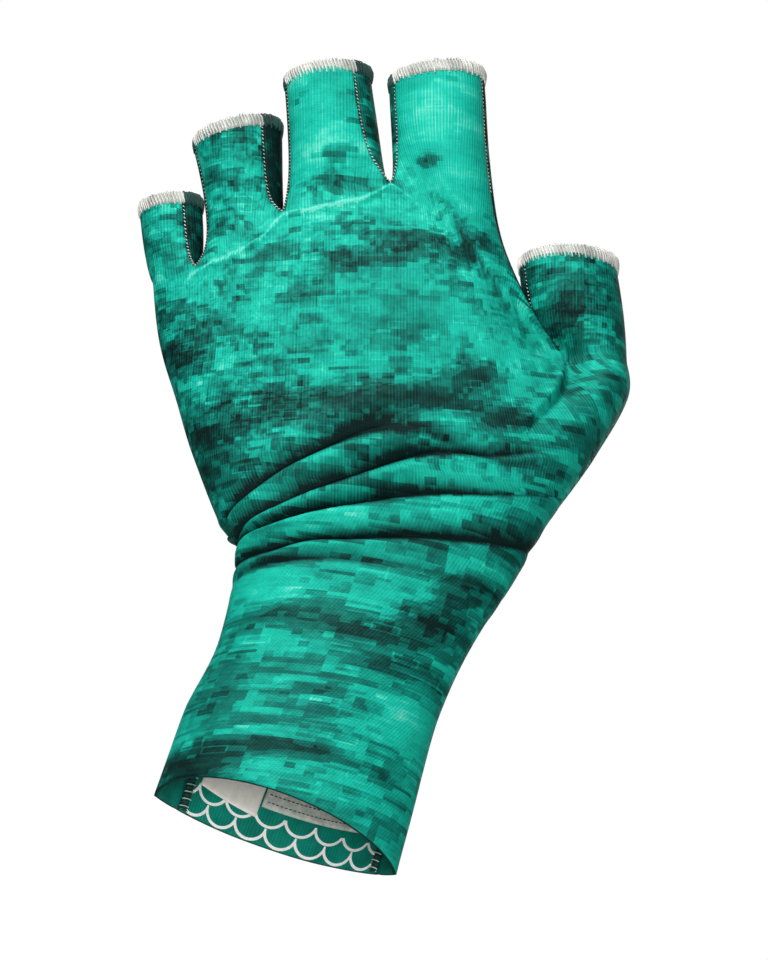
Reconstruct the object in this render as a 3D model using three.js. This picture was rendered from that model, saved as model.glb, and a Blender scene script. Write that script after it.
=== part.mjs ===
// A fingerless fishing glove for the left hand, long in the cuff, in the shape that it has when it is worn.
// Millimetres. X runs from the little finger's side to the thumb, Y from the back of the hand to the palm,
// and Z from the cuff to the fingers. The origin is the middle of the cuff's mouth, where the wrist goes in.
//
// The cloth is one skin of surfaces: the hand from the cuff's mouth to the roots of the fingers, a tube for
// each finger and the thumb, and a strip between each two fingers. The skin is cut along the seams into the
// panels that such a glove is sewn from, and each panel gets the cloth's thickness inwards.
import * as THREE from "three";

// Lengths of the cuff and hand
const CUFF_LENGTH = 76; // cuff's mouth to the wrist
const PALM_LENGTH = 110; // wrist to the fork between middle and index finger
const MOUTH_WIDTH = 71;
const MOUTH_DEPTH = 46;
const MOUTH_DROOP = 4.4; // how far the mouth hangs lower at its sides
const DROOP_ENDS = 0.3; // where up the cuff that droop has died out
const WRIST_WIDTH = 72;
const WRIST_DEPTH = 40;
const HAND_SPAN = 132; // across the hand and the root of the thumb
const KNUCKLE_WIDTH = 97; // across the roots of the four fingers
const PALM_DEPTH = 36; // back of the hand to the palm
const MOUND_ON_PALM = 9; // how far the thumb's root swells the hand on each side
const MOUND_ON_BACK = 4;

// Fingers and thumb
const FINGER_LENGTH = 35.5; // middle finger, from its root to its edging
const FINGER_DEPTH = 0.94; // a finger's depth for its width

// Cloth, edgings and what is inside the cuff
const CLOTH = 1;
const SEAM_GAP = 0.4; // between two panels that are sewn together
const SEAM_BEVEL = 0.65; // how much further a panel's inner edge is drawn back, for its thickness
const FOLD_DEPTH = 3;
const FOLD_WIDTH = 3.4;
const EDGING_HEIGHT = 3.6;
const EDGING_THICKNESS = 1.9;
const TAPE_WIDTH = 8;
const TAPE_THICKNESS = 1;
const TAPE_INSET = 10; // the tape's lower edge above the cuff's mouth
const LABEL_WIDTH = 21;
const LABEL_HEIGHT = 11.5;
const LABEL_THICKNESS = 1;
const LABEL_SLANT = 2; // how much higher its lower edge lies at its outer end
const SEWN_GAP = 0.3; // between a piece and the cloth that it is sewn to

// How finely the skin is divided
const FINGER_ROWS = 6;
const STRIP_COLUMNS = 3;
const WRAP_COLUMNS = 2; // columns of the back panel that reach round to the palm's side
const EDGING_SIDES = 24;

const rad = THREE.MathUtils.degToRad;
const mix = THREE.MathUtils.lerp;
const smooth = (t) => THREE.MathUtils.smoothstep(t, 0, 1);

// Sections of the cuff and hand. along is 0 at the mouth, 1 at the wrist and 2 at the fork between middle and
// index finger. wide is a share of the size named in across, middle (the section's place along X) a share of
// the cuff's length, and back and palm (how far the section bulges to each side) shares of the size named in
// thick. littleSeam and thumbSeam say how deep the section's two ends lie, as shares of the palm's depth. lean
// is the slope in degrees towards the thumb, and lens is 1 for an oval and more for a pointed section.
const SECTIONS = [
  { name: "mouth", along: 0, across: MOUTH_WIDTH, wide: 1, middle: 0, lean: 19.4,
    thick: MOUTH_DEPTH, back: 0.5, palm: 0.5, littleSeam: 0, thumbSeam: 0, lens: 1.3 },
  { name: "lower cuff", along: 0.26, across: MOUTH_WIDTH, wide: 0.966, middle: 0.089, lean: 19.3,
    thick: MOUTH_DEPTH, back: 0.48, palm: 0.48, littleSeam: 0, thumbSeam: 0, lens: 1.2 },
  { name: "upper cuff", along: 0.564, across: MOUTH_WIDTH, wide: 0.91, middle: 0.197, lean: 19,
    thick: WRIST_DEPTH, back: 0.51, palm: 0.51, littleSeam: 0, thumbSeam: 0, lens: 1.1 },
  { name: "wrist", along: 0.923, across: WRIST_WIDTH, wide: 1, middle: 0.311, lean: 18,
    thick: WRIST_DEPTH, back: 0.48, palm: 0.48, littleSeam: 0, thumbSeam: 0.03, lens: 1 },
  { name: "heel", along: 1.068, across: WRIST_WIDTH, wide: 1.18, middle: 0.346, lean: 8.5,
    thick: PALM_DEPTH, back: 0.56, palm: 0.56, littleSeam: 0.02, thumbSeam: 0.05, lens: 1 },
  { name: "low thumb", along: 1.24, across: HAND_SPAN, wide: 0.775, middle: 0.369, lean: 7.7,
    thick: PALM_DEPTH, back: 0.57, palm: 0.6, littleSeam: 0.04, thumbSeam: 0.11, lens: 0.95 },
  { name: "mid thumb", along: 1.39, across: HAND_SPAN, wide: 0.885, middle: 0.403, lean: 6.8,
    thick: PALM_DEPTH, back: 0.56, palm: 0.6, littleSeam: 0.06, thumbSeam: 0.14, lens: 0.92 },
  { name: "web", along: 1.545, across: HAND_SPAN, wide: 0.983, middle: 0.431, lean: 6,
    thick: PALM_DEPTH, back: 0.54, palm: 0.52, littleSeam: 0.09, thumbSeam: 0.18, lens: 0.9 },
  { name: "finger row", along: 1.673, across: HAND_SPAN, wide: 1, middle: 0.416, lean: 9.3,
    thick: PALM_DEPTH, back: 0.48, palm: 0.42, littleSeam: 0.1, thumbSeam: 0.2, lens: 0.9 },
];
for (const s of SECTIONS) {
  s.half = (s.wide * s.across) / 2;
  s.x = s.middle * CUFF_LENGTH;
  s.backReach = s.back * s.thick;
  s.palmReach = s.palm * s.thick;
  s.littleDepth = s.littleSeam * PALM_DEPTH;
  s.thumbDepth = s.thumbSeam * PALM_DEPTH;
}
const FINGER_ROW = SECTIONS.at(-1).along;
const BEND_STARTS = 1.05; // from here up the rows bend towards the line of the forks

// Forks between the fingers. u is the fork's place round the hand, from -1 at the little finger's side to 1 at
// the thumb's side. over is its distance from the little finger's side as a share of the knuckles' width, rise
// its height over the wrist as a share of the palm's length, backDepth and palmDepth how deep its two ends lie
// as shares of the palm's depth, and spread and run how wide and how long the dent below it is.
const FORKS = [
  { name: "little_ring", u: -0.61, over: 0.119, rise: 0.787, backDepth: -0.17, palmDepth: 0.38,
    spread: 0.1, run: 0.3 },
  { name: "ring_middle", u: -0.3, over: 0.367, rise: 0.926, backDepth: -0.22, palmDepth: 0.34,
    spread: 0.1, run: 0.3 },
  { name: "middle_index", u: 0, over: 0.673, rise: 1, backDepth: -0.24, palmDepth: 0.32,
    spread: 0.11, run: 0.3 },
  { name: "index_thumb", u: 0.48, over: 1.147, rise: 0.575, backDepth: 0.06, palmDepth: 0.22,
    spread: 0.14, run: 0.3 },
];

// Fingers from the little one to the thumb. Each takes the hand's surface from u = from to u = to. wide, root
// and long are its width at the edging, its width at the root and its length, the widths as shares of the
// knuckles' width and the length of the middle finger's. shift moves its root along X as a share of the
// knuckles' width, rootDepth and tipDepth are shares of the palm's depth, and lean, roll and tilt are degrees:
// its slope towards the thumb, the turn of its back towards the thumb, and the slope of its edging. left and
// right are where its back panel ends, in degrees from the middle of its back, and firm says how soon it
// leaves the hand's shape for its own.
const FINGERS = [
  { name: "little", from: -1, to: FORKS[0].u, wide: 0.179, root: 0.172, long: 0.56, shift: 0.005,
    firm: 4, rootDepth: 0.15, tipDepth: 0.12, lean: -3.7, roll: -22, tilt: 4, left: -90, right: 45 },
  { name: "ring", from: FORKS[0].u, to: FORKS[1].u, wide: 0.25, root: 0.19, long: 0.885, shift: 0.034,
    firm: 5, rootDepth: 0.07, tipDepth: 0.05, lean: -6.4, roll: -17, tilt: 10, left: -66, right: 50 },
  { name: "middle", from: FORKS[1].u, to: FORKS[2].u, wide: 0.246, root: 0.262, long: 1, shift: 0.011,
    firm: 3.5, rootDepth: -0.02, tipDepth: -0.02, lean: -5.4, roll: -13, tilt: 4, left: -67, right: 50 },
  { name: "index", from: FORKS[2].u, to: FORKS[3].u, wide: 0.27, root: 0.28, long: 0.875, shift: -0.083,
    firm: 5, rootDepth: -0.02, tipDepth: -0.02, lean: -3.9, roll: -4, tilt: 5, left: -62, right: 64 },
  { name: "thumb", from: FORKS[3].u, to: 1, wide: 0.278, root: 0.292, long: 0.72, shift: -0.035,
    firm: 3.5, rootDepth: 0.2, tipDepth: 0.17, lean: -7, roll: 12, tilt: 0, left: -64, right: 90 },
];
const COLUMNS = { little: 4, ring: 4, middle: 4, index: 5, thumb: 6 };

// Creases at the wrist, which meet at the little finger's side and fan out towards the thumb. start and end are
// heights along the hand at the two sides, fade is where round the hand a crease runs out, and deep and wide
// are shares of the named fold's depth and width.
const FOLDS = [
  { start: 0.88, end: 1.09, fade: 1, deep: 0.6, wide: 0.7 },
  { start: 0.94, end: 1.24, fade: 0.7, deep: 1, wide: 1 },
  { start: 1, end: 1.31, fade: 0.45, deep: 0.8, wide: 1.1 },
  { start: 1.09, end: 1.36, fade: 0.1, deep: 0.6, wide: 1.2 },
];
const FAN = 0.6; // below 1 the creases climb faster at the little finger's side
const FOLD_FADE = 0.5; // how much of the way round a crease takes to run out, as u
const FOLD_AT_SEAM = 0.55; // a crease's depth at the hand's two sides, for its full depth
const RIDGE = { high: 0.55, above: 1.9, wide: 1.1 }; // the swelling above a crease, for its depth and width

// Rows of points round the hand, below, between and above the creases. They fan out as the creases do.
const CUFF_ROWS = [[0, 0], [0.13, 0.13], [0.26, 0.27], [0.4, 0.43], [0.54, 0.61], [0.66, 0.78], [0.76, 0.93]];
const PALM_ROWS = [[1.18, 1.41], [1.28, 1.46], [1.38, 1.51], [1.48, 1.56], [1.58, 1.62], [1.673, 1.673]];

// The value of one column at a height along the hand, smooth through the sections
function track(column, along) {
  const last = SECTIONS.length - 1;
  let i = 0;
  while (i < last - 1 && SECTIONS[i + 1].along < along) i++;
  const slope = (k) => {
    const low = SECTIONS[Math.max(0, k - 1)];
    const high = SECTIONS[Math.min(last, k + 1)];
    return (high[column] - low[column]) / (high.along - low.along);
  };
  const [a, b] = [SECTIONS[i], SECTIONS[i + 1]];
  const step = b.along - a.along;
  const t = THREE.MathUtils.clamp((along - a.along) / step, 0, 1);
  return (
    a[column] * (1 + 2 * t) * (1 - t) ** 2 +
    b[column] * t * t * (3 - 2 * t) +
    step * (slope(i) * t * (1 - t) ** 2 - slope(i + 1) * t * t * (1 - t))
  );
}

function heightAt(along) {
  return along < 1 ? along * CUFF_LENGTH : CUFF_LENGTH + (along - 1) * PALM_LENGTH;
}

function alongAt(height) {
  return height < CUFF_LENGTH ? height / CUFF_LENGTH : 1 + (height - CUFF_LENGTH) / PALM_LENGTH;
}

// The height along the hand of a line that fans out from start to end
function fanned(start, end, u) {
  return mix(start, end, ((u + 1) / 2) ** FAN);
}

// Where a line round the hand would be if each section were straight and level across: X and Z only
function straightPoint(u, along) {
  const side = Math.sin((u * Math.PI) / 2) * track("half", along);
  const lean = rad(track("lean", along));
  const droop = MOUTH_DROOP * (1 - Math.cos((u * Math.PI) / 2)) * Math.max(0, 1 - along / DROOP_ENDS);
  return { x: track("x", along) + side * Math.cos(lean), z: heightAt(along) - side * Math.sin(lean) - droop };
}

// How far each fork, and each of the hand's two sides, lies from the straight finger row
const littleSide = straightPoint(-1, FINGER_ROW);
for (const fork of FORKS) {
  const straight = straightPoint(fork.u, FINGER_ROW);
  fork.x = littleSide.x + fork.over * KNUCKLE_WIDTH;
  fork.z = CUFF_LENGTH + fork.rise * PALM_LENGTH;
  fork.shiftX = fork.x - straight.x;
  fork.shiftZ = fork.z - straight.z;
}
const ROW_SHIFTS = [{ u: -1, shiftX: 0, shiftZ: 0 }, ...FORKS, { u: 1, shiftX: 0, shiftZ: 0 }];

function rowShift(u) {
  let i = 0;
  while (i < ROW_SHIFTS.length - 2 && ROW_SHIFTS[i + 1].u < u) i++;
  const [a, b] = [ROW_SHIFTS[i], ROW_SHIFTS[i + 1]];
  const t = smooth((u - a.u) / (b.u - a.u));
  return { x: mix(a.shiftX, b.shiftX, t), z: mix(a.shiftZ, b.shiftZ, t) };
}

// How deep a point of the hand lies before forks and folds dent it. side is -1 on the back and 1 on the palm.
function plainDepth(side, u, along) {
  const angle = (u * Math.PI) / 2;
  const seam = mix(track("littleDepth", along), track("thumbDepth", along), (1 + Math.sin(angle)) / 2);
  const reach = track(side < 0 ? "backReach" : "palmReach", along);
  return seam + side * reach * Math.max(0, Math.cos(angle)) ** track("lens", along);
}

// The swelling at the root of the thumb
const MOUND = { u: 0.78, spread: 0.27, from: 1.15, to: 1.6 };
function mound(side, u, along) {
  const near = Math.exp(-(((u - MOUND.u) / MOUND.spread) ** 2)) * Math.cos((u * Math.PI) / 2) ** 0.5;
  const ramp = smooth((along - MOUND.from) / (MOUND.to - MOUND.from));
  return side * (side < 0 ? MOUND_ON_BACK : MOUND_ON_PALM) * near * ramp;
}

function fullDepth(side, u, along) {
  return plainDepth(side, u, along) + mound(side, u, along);
}

// The dents that run down from the forks
function forkDent(side, u, along) {
  let dent = 0;
  for (const fork of FORKS) {
    const depth = (side < 0 ? fork.backDepth : fork.palmDepth) * PALM_DEPTH;
    const near = Math.exp(-(((u - fork.u) / fork.spread) ** 2));
    const ramp = smooth((along - FINGER_ROW) / fork.run + 1) ** 1.5;
    dent += (depth - fullDepth(side, fork.u, FINGER_ROW)) * near * ramp;
  }
  return dent;
}

// How far the wrist's creases push the cloth in, less where it rises beside them
function foldDepth(u, along) {
  let depth = 0;
  for (const fold of FOLDS) {
    const off = (heightAt(along) - heightAt(fanned(fold.start, fold.end, u))) / (fold.wide * FOLD_WIDTH);
    const fade = 1 - smooth((u - fold.fade) / FOLD_FADE + 0.5);
    const groove = Math.exp(-(off ** 2));
    const ridge = RIDGE.high * Math.exp(-(((off - RIDGE.above) / RIDGE.wide) ** 2));
    depth += fold.deep * FOLD_DEPTH * fade * (groove - ridge);
  }
  return depth * mix(FOLD_AT_SEAM, 1, Math.cos((u * Math.PI) / 2));
}

// A point of the hand's surface, from the mouth to the finger row
function handPoint(side, u, along) {
  const straight = straightPoint(u, along);
  const shift = rowShift(u);
  const bend = smooth((along - BEND_STARTS) / (FINGER_ROW - BEND_STARTS));
  const angle = (u * Math.PI) / 2;
  const inwards = foldDepth(u, along);
  return new THREE.Vector3(
    straight.x + bend * shift.x - inwards * Math.sin(angle),
    fullDepth(side, u, along) + forkDent(side, u, along) - side * inwards * Math.cos(angle),
    straight.z + bend * shift.z,
  );
}

// Places and sizes of the finger tubes, from the forks beside them
const rowEnds = [{ ...littleSide }, ...FORKS, straightPoint(1, FINGER_ROW)];
FINGERS.forEach((finger, i) => {
  const [a, b] = [rowEnds[i], rowEnds[i + 1]];
  finger.x = (a.x + b.x) / 2 + finger.shift * KNUCKLE_WIDTH;
  finger.z = finger.name === "index" ? a.z : (a.z + b.z) / 2;
  finger.length = finger.long * FINGER_LENGTH;
});

// A point of a finger's tube. angle is 0 on its back and grows towards the thumb, and t runs from its root to
// its edging.
function tubePoint(finger, angle, t) {
  const half = (mix(finger.root, finger.wide, t) * KNUCKLE_WIDTH) / 2;
  const roll = rad(finger.roll);
  const across = half * Math.sin(angle);
  const up = half * FINGER_DEPTH * Math.cos(angle);
  const x = across * Math.cos(roll) + up * Math.sin(roll);
  return new THREE.Vector3(
    finger.x + Math.sin(rad(finger.lean)) * finger.length * t + x,
    mix(finger.rootDepth, finger.tipDepth, t) * PALM_DEPTH + across * Math.sin(roll) - up * Math.cos(roll),
    finger.z + finger.length * t + Math.tan(rad(finger.tilt)) * x * t,
  );
}

// Joins a tube to what it grows from: all of the difference is made up at the root, and none at the edging
function settled(finger, angle, t, root) {
  const offset = root.clone().sub(tubePoint(finger, angle, 0));
  const sideways = (1 - t) ** finger.firm;
  const upwards = (1 - t) ** 2;
  offset.multiply(new THREE.Vector3(sideways, sideways, upwards));
  return tubePoint(finger, angle, t).add(offset);
}

// A point of a finger on its back or palm side. s runs from -1 at its little finger's side to 1.
function fingerPoint(side, finger, s, t) {
  const across = (s + 1) / 2;
  const facing = rad(mix(finger.left, finger.right, across));
  const root = handPoint(side, mix(finger.from, finger.to, across), FINGER_ROW);
  return settled(finger, side < 0 ? facing : Math.PI - facing, t, root);
}

// A point of the strip between two fingers. q runs from the back to the palm, and w from the edging of the
// first finger at -1, down to the fork at 0, and up to the edging of the second at 1.
function stripPoint(fork, first, second, q, w) {
  const finger = w < 0 ? first : second;
  const edge = rad(w < 0 ? first.right : -second.left);
  const angle = mix(edge, Math.PI - edge, q) * (w < 0 ? 1 : -1);
  const root = handPoint(-1, fork.u, FINGER_ROW).lerp(handPoint(1, fork.u, FINGER_ROW), q);
  return settled(finger, angle, Math.abs(w), root);
}

// The skin: points that grids share, and four-sided faces with the panel that each belongs to
const points = [];
const places = new Map();
const faces = [];

function pointIndex(p) {
  const key = p.toArray().map((v) => Math.round(v * 200)).join();
  if (!places.has(key)) {
    places.set(key, points.length);
    points.push(p);
  }
  return places.get(key);
}

function addGrid(rows, panelOf, turned) {
  const indices = rows.map((row) => row.map(pointIndex));
  for (let j = 0; j + 1 < rows.length; j++)
    for (let i = 0; i + 1 < rows[j].length; i++) {
      const corners = [indices[j][i], indices[j][i + 1], indices[j + 1][i + 1], indices[j + 1][i]];
      faces.push({ panel: panelOf(i), corners: turned ? corners.reverse() : corners });
    }
}

const steps = (n, from, to) => Array.from({ length: n + 1 }, (_, i) => mix(from, to, i / n));

// Heights of the rows as functions of u. A crease has a row along it and one to either side.
const BESIDE_CREASE = 0.6; // as a share of the fold's width
const line = ([start, end], off = 0) => (u) => alongAt(heightAt(fanned(start, end, u)) + off);
const creases = FOLDS.map((fold) => [fold.start, fold.end]);
const handRows = CUFF_ROWS.map((row) => line(row));
creases.forEach((crease, i) => {
  if (i > 0) handRows.push(line(crease.map((v, k) => (v + creases[i - 1][k]) / 2)));
  for (const off of [-BESIDE_CREASE, 0, BESIDE_CREASE]) handRows.push(line(crease, off * FOLD_WIDTH));
});
handRows.push(...PALM_ROWS.map((row) => line(row)));
const CROWDING = 1.6; // above 1 a finger's rows lie closer together at the forks
const fingerRows = steps(FINGER_ROWS, 0, 1).map((t) => t ** CROWDING);

// Towards the mouth the palm side's columns draw in from the sides, so that the seams lie further in there
const SEAM_ROUND = 0.81; // where the seams run on the hand, as u
const SEAM_ROUND_MOUTH = 0.62;
const DRAWN_UP_TO = 0.9;
function palmU(u, along) {
  const out = Math.abs(u);
  const drawn =
    out < SEAM_ROUND
      ? (out * SEAM_ROUND_MOUTH) / SEAM_ROUND
      : mix(SEAM_ROUND_MOUTH, 1, (out - SEAM_ROUND) / (1 - SEAM_ROUND));
  return Math.sign(u) * mix(drawn, out, smooth(along / DRAWN_UP_TO));
}

for (const finger of FINGERS) {
  const columns = COLUMNS[finger.name];
  for (const side of [-1, 1]) {
    const across = steps(columns, -1, 1);
    const rows = handRows.map((row) =>
      across.map((s) => {
        const u = mix(finger.from, finger.to, (s + 1) / 2);
        return handPoint(side, side < 0 ? u : palmU(u, row(u)), row(u));
      }),
    );
    for (const t of fingerRows.slice(1)) rows.push(across.map((s) => fingerPoint(side, finger, s, t)));
    const first = finger.name === "little" ? WRAP_COLUMNS : 0;
    const last = finger.name === "thumb" ? columns - WRAP_COLUMNS : columns;
    const wraps = (i) => i < first || i >= last;
    addGrid(rows, (i) => (side < 0 || wraps(i) ? "back_panel" : "palm_panel"), side > 0);
  }
}
FORKS.forEach((fork, i) => {
  const both = [...fingerRows.slice(1).map((t) => -t).reverse(), ...fingerRows];
  const rows = both.map((w) =>
    steps(STRIP_COLUMNS, 0, 1).map((q) => stripPoint(fork, FINGERS[i], FINGERS[i + 1], q, w)),
  );
  addGrid(rows, () => (i < 3 ? "side_strip_" + fork.name : "palm_panel"), true);
});

// The skin's outward direction at each of its points
const outwards = points.map(() => new THREE.Vector3());
for (const { corners } of faces) {
  const [a, b, c, d] = corners.map((i) => points[i]);
  const normal = c.clone().sub(a).cross(d.clone().sub(b)).normalize();
  for (const i of corners) outwards[i].add(normal);
}
outwards.forEach((n) => n.normalize());

// One panel: its faces with the cloth's thickness inwards, drawn back from the seams by half a gap
function panelGeometry(panel) {
  const own = faces.filter((f) => f.panel === panel);
  const edgeKey = (a, b) => a + "," + b;
  const edges = new Map();
  for (const { corners } of own)
    corners.forEach((a, k) => {
      const b = corners[(k + 1) % 4];
      edges.set(edgeKey(a, b), [a, b]);
    });
  const border = [...edges.values()].filter(([a, b]) => !edges.has(edgeKey(b, a)));
  const shared = new Set();
  for (const f of faces)
    if (f.panel !== panel) f.corners.forEach((a, k) => shared.add(edgeKey(a, f.corners[(k + 1) % 4])));

  const drawnBack = new Map(); // at a border point, the sum of its two edges' directions into the panel
  for (const [a, b] of border) {
    if (!shared.has(edgeKey(b, a))) continue;
    const along = points[b].clone().sub(points[a]).normalize();
    for (const i of [a, b]) {
      const inside = outwards[i].clone().cross(along).normalize();
      drawnBack.set(i, (drawnBack.get(i) ?? new THREE.Vector3()).add(inside));
    }
  }
  const used = [...new Set(own.flatMap((f) => f.corners))];
  const local = new Map(used.map((i, n) => [i, n]));
  const positions = [];
  for (const depth of [0, CLOTH])
    for (const i of used) {
      const p = points[i].clone().addScaledVector(outwards[i], -depth);
      const back = drawnBack.get(i);
      // The two directions' mitre, which a sharp corner doesn't lengthen without end
      if (back) p.addScaledVector(back, (SEAM_GAP + 2 * depth * SEAM_BEVEL) / Math.max(0.8, back.lengthSq()));
      positions.push(...p.toArray());
    }
  const inner = used.length;
  const index = [];
  const quad = (a, b, c, d) => index.push(a, b, c, a, c, d);
  for (const { corners } of own) {
    const [a, b, c, d] = corners.map((i) => local.get(i));
    quad(a, b, c, d);
    quad(d + inner, c + inner, b + inner, a + inner);
  }
  for (const [i, j] of border) {
    const [a, b] = [local.get(i), local.get(j)];
    quad(b, a, a + inner, b + inner);
  }
  return new THREE.BufferGeometry()
    .setAttribute("position", new THREE.Float32BufferAttribute(positions, 3))
    .setIndex(index);
}

// A closed ring or a closed strip from rings of profile points
function sweptGeometry(rings, closed) {
  const n = rings[0].length;
  const positions = rings.flat().flatMap((p) => p.toArray());
  const index = [];
  const count = rings.length;
  for (let j = 0; j < (closed ? count : count - 1); j++)
    for (let i = 0; i < n; i++) {
      const [a, b] = [j * n + i, j * n + ((i + 1) % n)];
      const next = ((j + 1) % count) * n;
      const [c, d] = [next + ((i + 1) % n), next + i];
      index.push(a, c, b, a, d, c);
    }
  if (!closed)
    for (let i = 1; i + 1 < n; i++) {
      const end = (count - 1) * n;
      index.push(0, i, i + 1, end, end + i + 1, end + i);
    }
  return new THREE.BufferGeometry()
    .setAttribute("position", new THREE.Float32BufferAttribute(positions, 3))
    .setIndex(index);
}

// The overlocked edging of a finger: a soft-cornered band that stands on the end of the cloth
const EDGING_PROFILE = [
  { out: 0.5, up: 0 },
  { out: 0.5, up: 0.75 },
  { out: 0.25, up: 1 },
  { out: -0.25, up: 1 },
  { out: -0.5, up: 0.75 },
  { out: -0.5, up: 0 },
];

function edgingGeometry(finger) {
  const rings = steps(EDGING_SIDES, 0, 2 * Math.PI)
    .slice(0, -1)
    .map((angle) => {
      const rim = tubePoint(finger, angle, 1);
      const before = tubePoint(finger, angle - rad(3), 1);
      const after = tubePoint(finger, angle + rad(3), 1);
      const out = after.sub(before).cross(new THREE.Vector3(0, 0, 1)).normalize();
      return EDGING_PROFILE.map((corner) =>
        rim
          .clone()
          .addScaledVector(out, corner.out * EDGING_THICKNESS - CLOTH / 2)
          .add(new THREE.Vector3(0, 0, SEWN_GAP + corner.up * EDGING_HEIGHT)),
      );
    });
  return sweptGeometry(rings, true);
}

// A patch that lies against the inside of the cuff's palm side, from u = from to u = to. low and high are its
// edges' heights over the mouth, and slant is how much higher its lower edge starts than it ends.
function patchGeometry(from, to, low, high, thickness, columns, slant = 0) {
  const inner = (u, z, depth) => {
    const along = z / CUFF_LENGTH;
    const nearby = 0.02;
    const p = handPoint(1, u, along);
    const acrossU = handPoint(1, u + nearby, along).sub(p);
    const upwards = handPoint(1, u, along + nearby).sub(p);
    return p.addScaledVector(upwards.cross(acrossU).normalize(), -(CLOTH + SEWN_GAP + depth));
  };
  const rings = steps(columns, from, to).map((u) => {
    const lower = low + (slant * (to - u)) / (to - from);
    return [inner(u, lower, thickness), inner(u, high, thickness), inner(u, high, 0), inner(u, lower, 0)];
  });
  return sweptGeometry(rings, false);
}

// Materials
const knit = new THREE.MeshStandardMaterial({ color: 0x12a585, roughness: 0.7, metalness: 0 });
const darkKnit = new THREE.MeshStandardMaterial({ color: 0x06594d, roughness: 0.75, metalness: 0 });
const thread = new THREE.MeshStandardMaterial({ color: 0xe4e1dc, roughness: 0.8, metalness: 0 });
const whiteTape = new THREE.MeshStandardMaterial({ color: 0xdedbd5, roughness: 0.6, metalness: 0 });

const glove = new THREE.Group();
function addMesh(name, geometry, material) {
  const mesh = new THREE.Mesh(geometry, material);
  mesh.name = name;
  glove.add(mesh);
}

addMesh("back_panel", panelGeometry("back_panel"), knit);
addMesh("palm_panel", panelGeometry("palm_panel"), knit);
for (const fork of FORKS.slice(0, 3)) {
  const name = "side_strip_" + fork.name;
  addMesh(name, panelGeometry(name), darkKnit);
}
for (const finger of FINGERS) addMesh(finger.name + "_edging", edgingGeometry(finger), thread);

// The label and the tape lie side by side inside the cuff, the label hanging a little below the tape
const LABEL_START = -0.53; // the label's outer edge and the tape's, as u
const TAPE_END = 0.74;
const roundPerMillimetre = 2 / (Math.PI * (MOUTH_WIDTH / 2));
const labelEnd = LABEL_START + LABEL_WIDTH * roundPerMillimetre;
const tapeStart = labelEnd + 2 * SEWN_GAP * roundPerMillimetre;
const tapeTop = TAPE_INSET + TAPE_WIDTH;
const TAPE_COLUMNS = 10;
const LABEL_COLUMNS = 3;
addMesh(
  "cuff_tape",
  patchGeometry(tapeStart, TAPE_END, TAPE_INSET, tapeTop, TAPE_THICKNESS, TAPE_COLUMNS),
  whiteTape,
);
addMesh(
  "size_label",
  patchGeometry(
    LABEL_START, labelEnd, tapeTop - LABEL_HEIGHT, tapeTop, LABEL_THICKNESS, LABEL_COLUMNS, LABEL_SLANT,
  ),
  whiteTape,
);

export default glove;
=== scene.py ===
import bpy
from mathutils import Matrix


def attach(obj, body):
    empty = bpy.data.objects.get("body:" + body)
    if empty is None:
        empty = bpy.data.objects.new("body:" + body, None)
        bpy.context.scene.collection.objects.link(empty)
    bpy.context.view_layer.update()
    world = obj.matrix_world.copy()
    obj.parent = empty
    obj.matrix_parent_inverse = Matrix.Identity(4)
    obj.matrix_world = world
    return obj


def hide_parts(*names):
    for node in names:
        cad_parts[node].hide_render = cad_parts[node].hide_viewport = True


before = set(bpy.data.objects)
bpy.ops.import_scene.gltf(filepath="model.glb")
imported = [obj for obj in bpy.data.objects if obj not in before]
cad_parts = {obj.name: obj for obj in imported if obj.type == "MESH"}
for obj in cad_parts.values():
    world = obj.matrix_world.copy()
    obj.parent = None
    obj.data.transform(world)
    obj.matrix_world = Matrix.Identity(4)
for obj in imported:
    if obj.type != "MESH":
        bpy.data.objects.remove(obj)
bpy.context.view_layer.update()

import bpy
import numpy as np
from mathutils import Vector

MM = 0.001  # sizes in this file are in millimetres, and meshes are in metres


# Studio: the glove hangs in white air, as in the photograph, and the camera looks up at it from the cuff's
# end. A soft key light stands high at the left, one in front fills from below and a wide one stands behind,
# over a pale floor that the camera sees white.
VIEW_ELEVATION = -22
VIEW_CENTRE = (30, 0, 101)
VIEW_HEIGHT = 264
CAMERA_DISTANCE = 900
FLOOR_HEIGHT, FLOOR_REACH = -520, 3000


def srgb(red, green, blue):
    """The linear colour of a screen colour given from 0 to 255, by the sRGB curve."""
    c = np.array([red, green, blue]) / 255
    return (*np.where(c <= 0.04045, c / 12.92, ((c + 0.055) / 1.055) ** 2.4).tolist(), 1.0)


def link_object(name, data):
    made = bpy.data.objects.new(name, data)
    bpy.context.scene.collection.objects.link(made)
    return made


def aim(thing, place, target):
    """Puts a camera or light at a place, both in millimetres, and turns it to face the target."""
    place, target = Vector(place) * MM, Vector(target) * MM
    thing.location = place
    thing.rotation_euler = (target - place).to_track_quat("-Z", "Y").to_euler()


def add_node(tree, kind, inputs=(), **settings):
    """Adds a shader node; inputs maps socket names or numbers to a socket to link or a value to set."""
    node = tree.nodes.new("ShaderNode" + kind)
    for key, value in settings.items():
        setattr(node, key, value)
    for key, value in dict(inputs).items():
        if isinstance(value, bpy.types.NodeSocket):
            tree.links.new(value, node.inputs[key])
        else:
            node.inputs[key].default_value = value
    return node


def link(value, socket):
    value.id_data.links.new(value, socket)


def principled(name):
    """A new material, its tree and the inputs of its shader node."""
    material = bpy.data.materials.new(name)
    material.use_nodes = True
    return material, material.node_tree, material.node_tree.nodes["Principled BSDF"].inputs


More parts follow.
